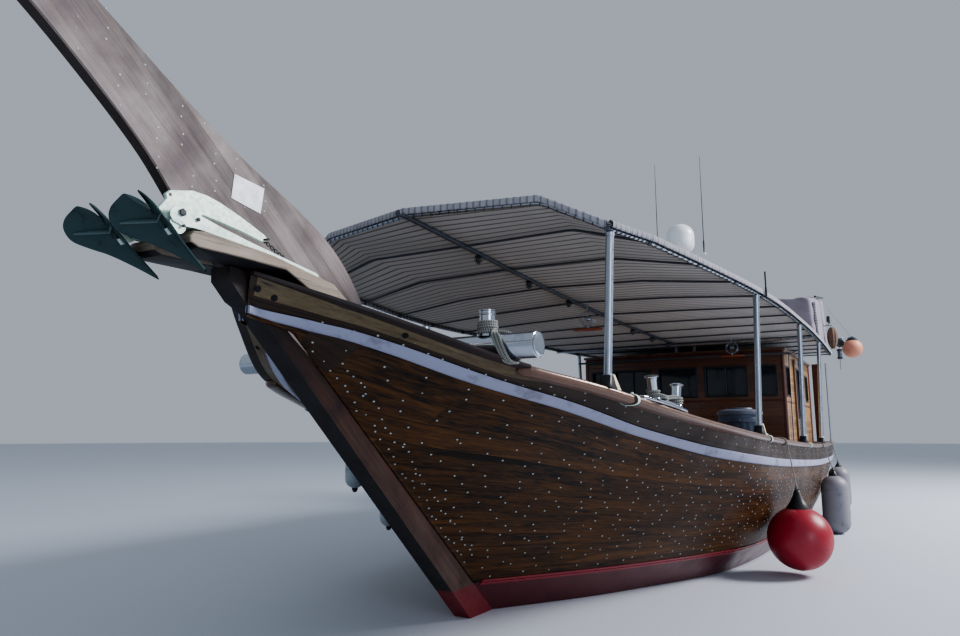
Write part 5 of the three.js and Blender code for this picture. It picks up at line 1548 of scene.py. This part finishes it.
def makeMast():
    x, foot, top, leg, reach = mast["x"], mast["foot"], mast["top"], mast["leg"], mast["reach"]
    steel, whips, collars = [], [], []
    legProfile = [(0, 0), (0.09, 0), (0.09, 0.01), (0.086, 0.014), (leg + 0.006, 0.016), (leg, 0.03),
                  (leg, top - foot - 0.06), (0, top - foot - 0.06)]
    for side in boatSides.values():
        y = side * mast["legY"]
        steel.append(turned(legProfile, (x, y, foot)))
        for angle in np.arange(4) * np.pi / 2 + np.pi / 4:
            spot = np.array([x + 0.068 * np.cos(angle), y + 0.068 * np.sin(angle), foot + 0.01])
            steel.append(rod(spot, spot + (0, 0, 0.014), 0.009, 6))
        collars.append(turned(mastParts["boot"], (x, y, roofLine(x, y / 3.0)[1] + 0.0065)))
        whipY = side * mast["whipY"]
        whips.append(turned(mastParts["whipFoot"], (x, whipY, top - 0.03), sides=14))
        whips.append(turned(mastParts["whip"], (x, whipY, top + 0.29), sides=10))
    steel.append(rod((x, -mast["legY"], 5.4), (x, mast["legY"], 5.4), 0.024, 14))
    steel.append(block((x - 0.035, -reach, top - 0.07), (x + 0.035, reach, top - 0.0205), 0.006))
    steel.append(block((x - 0.17, -0.17, top - 0.02), (x + 0.17, 0.17, top), 0.004))
    makePiece("mast_frame", steel, whitePaint, replaces=("mast",))
    whips.append(turned(mastParts["shortAerial"], mastParts["shortAerialFoot"], sides=12))
    makePiece("mast_whips", whips, darkPaint)
    makePiece("mast_boots", collars, blackPlastic)
    arch = np.linspace(0, np.pi / 2, 16)[1:]
    radius, height = mastParts["domeFoot"][-1]
    dome = zipped(radius * np.cos(arch), height + mastParts["domeRise"] * np.sin(arch))
    makePiece("radome_shell", [turned(np.concatenate([mastParts["domeFoot"], dome]), (x, 0, top), sides=40)],
              radomeShell, replaces=("radome",))


# Upper aft deck under a loose cover, lashed over a frame that stands on the stern posts
hood = {
    # x, half breadth, height of the shoulder, height of the crown
    "stations": [(-10.0, 2.84, 6.0, 6.06), (-8.2, 2.85, 5.74, 5.80), (-6.3, 2.85, 5.47, 5.52)],
    "middle": -8.15,
    "reach": 1.85,
    "lean": 0.06,
    "inset": 0.02,
    "cut": (8.2, 6.6),
    "area": 45.4,
    "waves": (11, 17, 26, 38, 55),
    "seed": 3,
    "tapes": (1.19, 1.95, np.pi * 2 - 1.19, np.pi * 2 - 1.95),  # u of each
    "tapeSection": (0.045, 0.006),
    "shoulder": 0.83,  # v where the tapes end
    "flapAt": 0.86,
    "flapRadius": 0.045,
    "battens": [(-9.9, 2.76, 5.99), (-8.2, 2.77, 5.74), (-7.6, 2.77, 5.66)],
    "battenWide": 0.05,
    "lashings": 90,
}


def rounded(angle, power):
    # how far a superellipse of unit half widths reaches at an angle
    return (np.abs(np.cos(angle)) ** power + np.abs(np.sin(angle)) ** power) ** (-1 / power)


def coverPoint(u, v):
    # u turns round the cover, v climbs its section from the skirt at 0 over the shoulder at 45 degrees to the
    # middle of its top: a superellipsoid fitted to the frame, whose skirt follows the awning's roof
    climb, reach = rounded(v, 40) * np.sin(v), rounded(v, 40) * np.cos(v)
    x = hood["middle"] + (hood["reach"] - hood["inset"]) * rounded(u, 50) * np.cos(u) * reach
    half, shoulder, crown = columnsOf(hood["stations"], x)
    across = rounded(u, 50) * np.sin(u) * reach
    top = shoulder + (crown - shoulder) * (1 - np.clip(np.abs(across), 0, 1)) - hood["inset"]
    y = (half - hood["inset"] - hood["lean"] * climb) * across
    low = roofLine(np.clip(x, -9.7, 6.6), np.clip(y / 2.9, -1, 1))[1] + 0.03
    return zipped(x, y, low + (top - low) * climb)


def makeHood():
    # even steps along the walls and the top need uneven steps in the superellipsoid's angles
    columns, rows = 421, 96
    u, v = np.linspace(0, 2 * np.pi, 4001), np.linspace(0, np.pi / 2, 8001)
    length, climb = runLength(coverPoint(u, 0.3 + 0 * u)), runLength(coverPoint(np.pi / 2 + 0 * v, v))
    share, turn = np.linspace(0, 1, rows), np.linspace(0, 1, columns)[:, None]
    u = np.interp(turn[:, 0] * length[-1], length, u)
    v = np.interp(share * climb[-1], climb, v)
    points = coverPoint(*np.meshgrid(u, v, indexing="ij"))
    # the cloth's UV leans equally on every face, in metres
    uv = zipped(points[..., 0] + points[..., 2], points[..., 1] + points[..., 2])
    normal = np.cross(np.gradient(points, axis=0), np.gradient(points, axis=1))
    normal /= np.maximum(np.linalg.norm(normal, axis=-1, keepdims=True), 1e-9)
    # folds: upright ones that fade at the skirt and the shoulder, slanting ones from the corners,
    # each a sine of the distance round, whole numbers of waves so that the ends meet
    chance = np.random.default_rng(hood["seed"])
    turn = 2 * np.pi * turn
    folds = 0
    for waves in hood["waves"]:
        slant = chance.uniform(-4, 4)
        phase = chance.uniform(0, 2 * np.pi)
        swell = 0.5 + 0.5 * np.sin(turn * chance.integers(1, 5) + phase * 2)
        folds = folds + swell * np.sin(turn * waves + slant * share * 6 + phase) * 0.16 / waves
    wall = np.clip(share / 0.06, 0, 1) * np.clip((0.62 - share) / 0.16, 0, 1)
    # the cloth sags between the frame's bows along the top
    sag = 0.018 * np.clip((share - 0.45) * 5, 0, 1) * (np.abs(np.sin(np.pi * points[..., 0] / 0.9)) - 1)
    out = np.clip(folds * wall, -0.028, 0.022)
    points = points + normal * (out + sag)[..., None]
    points[-1] = points[0]
    return makePiece("stern_cover", [surface(points, uv)], hoodCloth, replaces=("stern_hood",),
                     sharp=60, thick=0.004)


def makeHoodTrim(cover):
    # pale seam tapes up the port and starboard walls, and a flap rolled up and tied at each wall's fore end
    tapes, battens = [], []
    v = np.linspace(0.0, hood["shoulder"], 120)
    tape = boxy(*hood["tapeSection"], 4, 10)
    batten = boxy(hood["battenWide"], hood["battenWide"], 6, 12)
    for u in hood["tapes"]:
        way = np.sign(np.sin(u))
        line = coverPoint(u, v) + (0, way * 0.012, 0.012)
        tapes.append(sweep(line, 1.0, tape, (0, way, 0.6)))
    for side in boatSides.values():
        low, high = coverPoint(side * hood["flapAt"], 0.02), coverPoint(side * hood["flapAt"], 0.7)
        line = np.linspace(low, high, 40) + (0, side * 0.05, 0.04)
        thick = hood["flapRadius"] + 0.008 * np.sin(np.linspace(0, 14, 40))
        tapes.append(sweep(line, thick, circle(14), forward))
        line = smoothPath([(x, side * y, z) for x, y, z in hood["battens"]], 20)
        battens.append(sweep(line, 1.0, batten))
    makePiece("cover_battens", battens, darkJoinery)
    seams = makePiece("cover_tapes", tapes, edgeCloth)
    # a cord that zigzags between the skirt and the awning
    u = np.linspace(0, 2 * np.pi, 900)
    zigzag = np.abs((np.linspace(0, hood["lashings"], 900) % 1) * 2 - 1)[:, None]
    cord = coverPoint(u, 0 * u) * (1 - zigzag) + coverPoint(u, 0.07 + 0 * u) * zigzag
    cord = cord + zipped(np.cos(u) * 0.012, np.sin(u) * 0.012, 0.012 + 0.03 * zigzag[:, 0])
    cord[-1] = cord[0]
    lash = makePiece("cover_lashing", [sweep(cord, 0.005, circle(6))], rope)


makeHoodTrim(makeHood())
makeWheelhouse()
makeMast()
print("wheelhouse, mast and hood made")


# Fenders: blown vinyl with a heavier cap at each end, hung on lanyards from the rail
fenders = {
    # x, clearance from the skin, height of the middle, radius, half the straight part, side
    "fender_ball_port": (0.9, 0.03, 0.54, 0.465, 0.0, 1),
    "fender_1_port": (-4.4, 0.012, 0.6, 0.27, 0.35, 1),
    "fender_2_port": (-7.9, 0.012, 0.72, 0.25, 0.3, 1),
    "fender_1_starboard": (4.35, 0.045, 1.68, 0.15, 0.26, -1),
    "fender_2_starboard": (3.3, 0.012, 1.0, 0.15, 0.26, -1),
}
lanyard = 0.011


def makeFenders():
    lanyards = []
    for name, (x, out, z, radius, half, side) in fenders.items():
        # the fender hangs straight down unless the skin pushes it out
        angle = np.linspace(0, 1.3, 7)
        touch = [np.max(skinAt(np.full(7, x), z + shift + radius * np.sin(angle)) + radius * np.cos(angle))
                 for shift in (-half, half)]
        knot = float(sheerLine(x)[0]) + lines["capOut"] + lanyard - 0.0006
        y = max(*touch, knot - out) + out
        spot = (x, y, z)
        if half:
            # a long fender: straight walls between two rounded ends, a cap on each
            arch = np.linspace(0.25, np.pi / 2, 12)
            dome = zipped(radius * np.sin(arch), half + radius * 0.95 * np.cos(arch))
            wall = [(radius * 1.006, half * 0.5), (radius * 1.006, -half * 0.5)]
            body = np.concatenate([dome[:1], dome, wall, (dome * (1, -1))[::-1], dome[:1] * (1, -1)])
            tip = half + radius * 1.28
            cap = np.array([(dome[0][0] * 1.25, dome[0][1] - 0.02), (dome[0][0] * 1.2, dome[0][1] + 0.012),
                            (0.045, tip - 0.03), (0.03, tip), (0.012, tip + 0.012), (0, tip + 0.012)])
            caps = [turned(cap, spot), turned(cap * (1, -1), spot)]
            material, slot = greyVinyl if side > 0 else paleVinyl, "grey_vinyl"
        else:
            # the ball: its neck at the top, a small plug below
            arch = np.linspace(-np.pi / 2, 1.2, 26)
            body = zipped(radius * np.cos(arch), radius * np.sin(arch))
            tip = radius * 1.5
            cap = [(body[-1][0] + 0.003, body[-1][1] - 0.014), (body[-1][0] + 0.004, body[-1][1] + 0.004),
                   (0.115, 0.52), (0.075, 0.6), (0.05, tip - 0.03), (0.035, tip), (0.012, tip + 0.012),
                   (0, tip + 0.012)]
            foot = [(0, -radius - 0.01), (0.05, -radius), (0.06, -0.98 * radius)]
            caps = [turned(cap, spot, sides=28), turned(foot, spot, sides=16)]
            material, slot = redVinyl, "red_vinyl"
        caps.append(ringOf((x, y, z + tip + 0.02), forward, 0.022, 0.009, 14, 6))
        # the lanyard: two turns at the eye, then a nearly straight run to a hitch round the rail
        railTop, eye = float(sheerLine(x)[1]), z + tip + 0.03
        line = smoothPath([(x, y, eye), (x, (y + knot) / 2 + 0.004, (z + tip + railTop - 0.09) / 2),
                           (x, knot + 0.006, railTop - 0.10), (x, knot + 0.004, railTop - 0.05)], 24)
        bight = boxy(0.225, 0.125, rail["roundPower"], 32)
        hitch = zipped(x, knot - 0.115 + bight[:, 0], railTop - 0.05 + bight[:, 1])
        ropes = [sweep(path, 0.009, circle(8), forward) for path in (line, hitch, hitch + (0.02, 0, 0))]
        ropes.append(coil((x, y, eye), 0.008, 0.05, 3, 0.008))
        skin = [turned(body, spot, sides=48)]
        if side < 0:
            skin, caps, ropes = mirrored(skin), mirrored(caps), mirrored(ropes)
        makePiece(f"{name}_skin", skin, material, replaces=(name,))
        makePiece(f"{name}_caps", caps, blackPlastic)
        lanyards += ropes
    makePiece("fender_lanyards", lanyards, rope)


# Deck bin: a ribbed, tapering tub with an overhanging lid
deckBin = {
    "place": (1.5, 2.42),
    "ribs": 18,
    "ribDeep": 0.008,
    # radius, height, how deep the ribs are cut
    "tub": [(0.23, 0.0, 0), (0.24, 0.004, 0), (0.252, 0.03, 1), (0.28, 0.5, 1), (0.298, 0.8, 1),
            (0.3, 0.806, 0), (0.318, 0.812, 0), (0.318, 0.87, 0), (0.308, 0.88, 0), (0.305, 0.93, 0)],
    "lid": [(0, 0.931), (0.31, 0.931), (0.326, 0.925), (0.33, 0.93), (0.33, 0.972), (0.322, 0.982),
            (0.29, 0.992), (0.19, 1.012), (0.182, 1.03), (0.06, 1.036), (0, 1.036)],
}


def makeBin():
    x, y = deckBin["place"]
    foot = float(deckAt(x))
    angle = np.linspace(0, 2 * np.pi, 145)
    radius, height, cut = np.array(deckBin["tub"]).T[..., None]
    ring = radius - deckBin["ribDeep"] * cut * (0.5 + 0.5 * np.sign(np.sin(angle * deckBin["ribs"])))
    tub = [loft(zipped(x + ring * np.cos(angle), y + ring * np.sin(angle), foot + height))]
    # a grip at the fore and the after side
    for way in (1, -1):
        grip = np.array([(0, -0.07, 0), (way * 0.03, -0.06, -0.01), (way * 0.03, 0.06, -0.01), (0, 0.07, 0)])
        tub.append(sweep(bent(grip + (x + way * 0.325, y, foot + 0.845), 0.02), 0.009, circle(8)))
    makePiece("bin_tub", tub, binPlastic, replaces=("deck_bin",))
    makePiece("bin_lid", [turned(deckBin["lid"], (x, y, foot), sides=48)], binLid)


# Frames inside the bulwark: from, to, spacing, and the frame's width and depth
ribs = {"aft": -9.6, "fore": 7.0, "apart": 0.62, "wide": 0.075, "deep": 0.058}


def makeRibs():
    frames = []
    for x in np.arange(ribs["aft"], ribs["fore"], ribs["apart"]):
        z = np.linspace(float(deckAt(x)) + 0.004, float(sheerLine(x)[1]) - lines["capHeight"] - 0.004, 8)
        y = skinAt(np.full(8, x), z) - lines["wall"] - 0.031
        frames.append(sweep(zipped(x, y, z), 1.0, boxy(ribs["wide"], ribs["deep"], 6, 16), forward))
    makePair("bulwark_ribs", frames, bulwarkFrame, "varnished_planking")


# Stern gear on the port quarter; the profiles are (radius, height or distance from the foot)
stern = {
    "x": -9.95, "y": 3.1, "wall": 2.86, "arm": 4.78, "lightX": -9.1, "pipe": (-10.02, 2.70),
    "buoy": (-10.6, 3.4, 4.55),
    "hoodCorner": (-9.97, 2.87, 5.66),
    "fins": (5.16, 5.29, 6),  # from, to, how many
    "fork": [(-0.04, 5.22), (-0.045, 5.09), (0.185, 5.09), (0.18, 5.22)],
    "hornZ": 4.64,
    "lampTopZ": 4.42,
    "lampFootZ": 4.19,
    "horn": [(0, 0), (0.05, 0), (0.055, 0.03), (0.115, 0.1), (0.12, 0.12), (0.1, 0.13), (0.03, 0.1),
             (0, 0.1)],
    "lampTop": [(0, 0), (0.06, 0), (0.075, 0.02), (0.075, 0.05), (0.05, 0.06), (0, 0.06)],
    "lampFoot": [(0, 0), (0.05, 0), (0.075, 0.012), (0.075, 0.045), (0.06, 0.055), (0, 0.055)],
    "lampGlass": [(0.055, 4.245), (0.062, 4.25), (0.062, 4.415), (0.055, 4.42)],
    "buoyRadius": 0.275,
    "buoyCap": [(0.166, 0.215), (0.168, 0.228), (0.1, 0.3), (0.05, 0.33), (0.03, 0.345), (0, 0.345)],
    # the canvas cover over the upper lamp: radius, height, depth of its folds
    "cover": [(0.02, 5.0, 0), (0.05, 4.995, 0.1), (0.1, 4.93, 0.4), (0.125, 4.82, 0.8), (0.13, 4.7, 1),
              (0.115, 4.58, 1.2), (0.075, 4.47, 1.5), (0.05, 4.42, 1.2), (0.06, 4.40, 1.5)],
}


def makeSternGear():
    x, y, wall, arm, at = (stern[key] for key in ("x", "y", "wall", "arm", "lightX"))
    buoy = np.array(stern["buoy"])
    end = buoy + (0, 0, 0.33)
    # floodlight: a finned box on a fork, its glass towards the quay
    dark = [block((at - 0.03, wall + 0.06, 5.14), (at + 0.17, wall + 0.12, 5.31), 0.012)]
    for z in np.linspace(*stern["fins"]):
        dark.append(block((at - 0.02, wall + 0.035, z - 0.004), (at + 0.16, wall + 0.062, z + 0.004), 0.001))
    fork = np.array(stern["fork"])
    fork = zipped(at + fork[:, 0], wall + 0.09, fork[:, 1])
    dark.append(sweep(bent(fork, 0.02), 0.008, circle(8), abeam))
    # a horn, and the navigation lamp's top and foot
    dark.append(turned(stern["horn"], (x - 0.02, y, stern["hornZ"]), (1, 0.25, 0), 20))
    dark.append(turned(stern["lampTop"], (x, y, stern["lampTopZ"]), sides=20))
    dark.append(turned(stern["lampFoot"], (x, y, stern["lampFootZ"]), sides=20))
    makePiece("stern_gear", dark, darkPaint)
    glass = [turned(stern["lampGlass"], (x, y, 0), sides=20),
             block((at, wall + 0.121, 5.155), (at + 0.14, wall + 0.125, 5.295), 0.001)]
    makePiece("stern_lamp_glass", glass, lampGlass)
    # the floodlight's bracket, the arm and upright that carry the horn, the lamp and the buoy, the bracket
    # of the covered lamp, and a pipe with its flange beside the column
    px, py = stern["pipe"]
    railTop = float(sheerLine(px)[1])
    steel = [
        rod((at + 0.07, wall - 0.02, 5.06), (at + 0.07, wall + 0.11, 5.09), 0.012, 8),
        rod((x, wall - 0.03, arm), (x, 3.2, arm), 0.018, 10),
        rod((x, y, 3.88), (x, y, arm + 0.06), 0.014, 10),
        sweep(bent([(x, 3.18, arm), (x - 0.3, 3.3, arm + 0.06), end], 0.1), 0.014, circle(10)),
        rod((at + 0.08, wall - 0.06, 5.05), (at + 0.08, wall + 0.19, 5.05), 0.014, 10),
        rod((px, py, railTop - 0.01), (px, py, 4.1), 0.022, 12),
        rod((px, py, railTop - 0.005), (px, py, railTop + 0.02), 0.05),
    ]
    makePiece("stern_pipes", steel, brushedTube)
    # the buoy, its stay to the hood's corner and its lashing
    ropes = [sweep(np.linspace(stern["hoodCorner"], end, 14), 0.006, circle(6)),
             coil(end - (0, 0, 0.03), 0.016, 0.06, 3, 0.006),
             sweep(np.linspace(end - (0, 0, 0.02), end - (0, 0, 0.1), 4), 0.008, circle(6), forward)]
    makePiece("stern_stay", ropes, rope)
    arch = np.linspace(-np.pi / 2, 0.95, 22)
    ball = stern["buoyRadius"] * zipped(np.cos(arch), np.sin(arch))
    makePiece("stern_buoy", [turned(ball, buoy, sides=40)], salmonVinyl)
    makePiece("stern_buoy_cap", [turned(stern["buoyCap"], buoy, sides=28)], blackPlastic)
    # a lamp in its brown canvas cover, gathered at the foot: the folds are 9 and 5 waves round
    turn = np.linspace(0, 2 * np.pi, 73)
    radius, height, fold = np.array(stern["cover"]).T[..., None]
    ring = radius * (1 + 0.06 * fold * np.sin(turn * 9) + 0.04 * fold * np.sin(turn * 5 + 1))
    cover = loft(zipped(at + 0.08 + ring * np.cos(turn), wall + 0.15 + ring * np.sin(turn), height))
    makePiece("lamp_cover", [cover], brownCanvas)


makeFenders()
makeBin()
makeRibs()
makeSternGear()
print("fenders, bin and stern gear made")


# Studio: a pale floor at the waterline, pale air and large soft lights
studio = {
    "floorRadius": 160,
    "floor": "#c9d0da",
    "air": "#dbe4f0",
    "airStrength": 0.5,
    # place, what it looks at, size, power, colour
    "lights": {
        "key": ((-14.0, 24.0, 21.0), (0.0, 0.0, 2.0), 9.0, 15000, "#f6f2f4"),
        "fill": ((22.0, 26.0, 8.0), (4.0, 0.0, 2.0), 12.0, 1500, "#dce8ff"),
    },
}


def makeStudio():
    world = bpy.data.worlds.new("studio air")
    world.use_nodes = True
    plug(world.node_tree.nodes["Background"], {"Color": studio["air"], "Strength": studio["airStrength"]})
    bpy.context.scene.world = world
    for name, (place, target, size, power, color) in studio["lights"].items():
        data = bpy.data.lights.new(name, "AREA")
        data.size = size
        data.energy = power
        data.color = hexColor(color)[:3]
        lamp = inScene(name, data)
        lamp.location = place
        lamp.rotation_euler = (Vector(target) - Vector(place)).to_track_quat("-Z", "Y").to_euler()
    rim = circle(96)[:-1] * studio["floorRadius"]
    mesh = bpy.data.meshes.new("studio_floor")
    mesh.from_pydata(zipped(rim[:, 0], rim[:, 1], 0).tolist(), [], [list(range(len(rim)))])
    material, shader = newMaterial("pale matt floor", 0.6)
    plug(shader, {"Base Color": studio["floor"]})
    mesh.materials.append(material)
    inScene("studio_floor", mesh)


makeStudio()
bpy.context.scene.view_settings.view_transform = "AgX"
bpy.context.scene.view_settings.look = "AgX - Medium High Contrast"
print("studio lit")
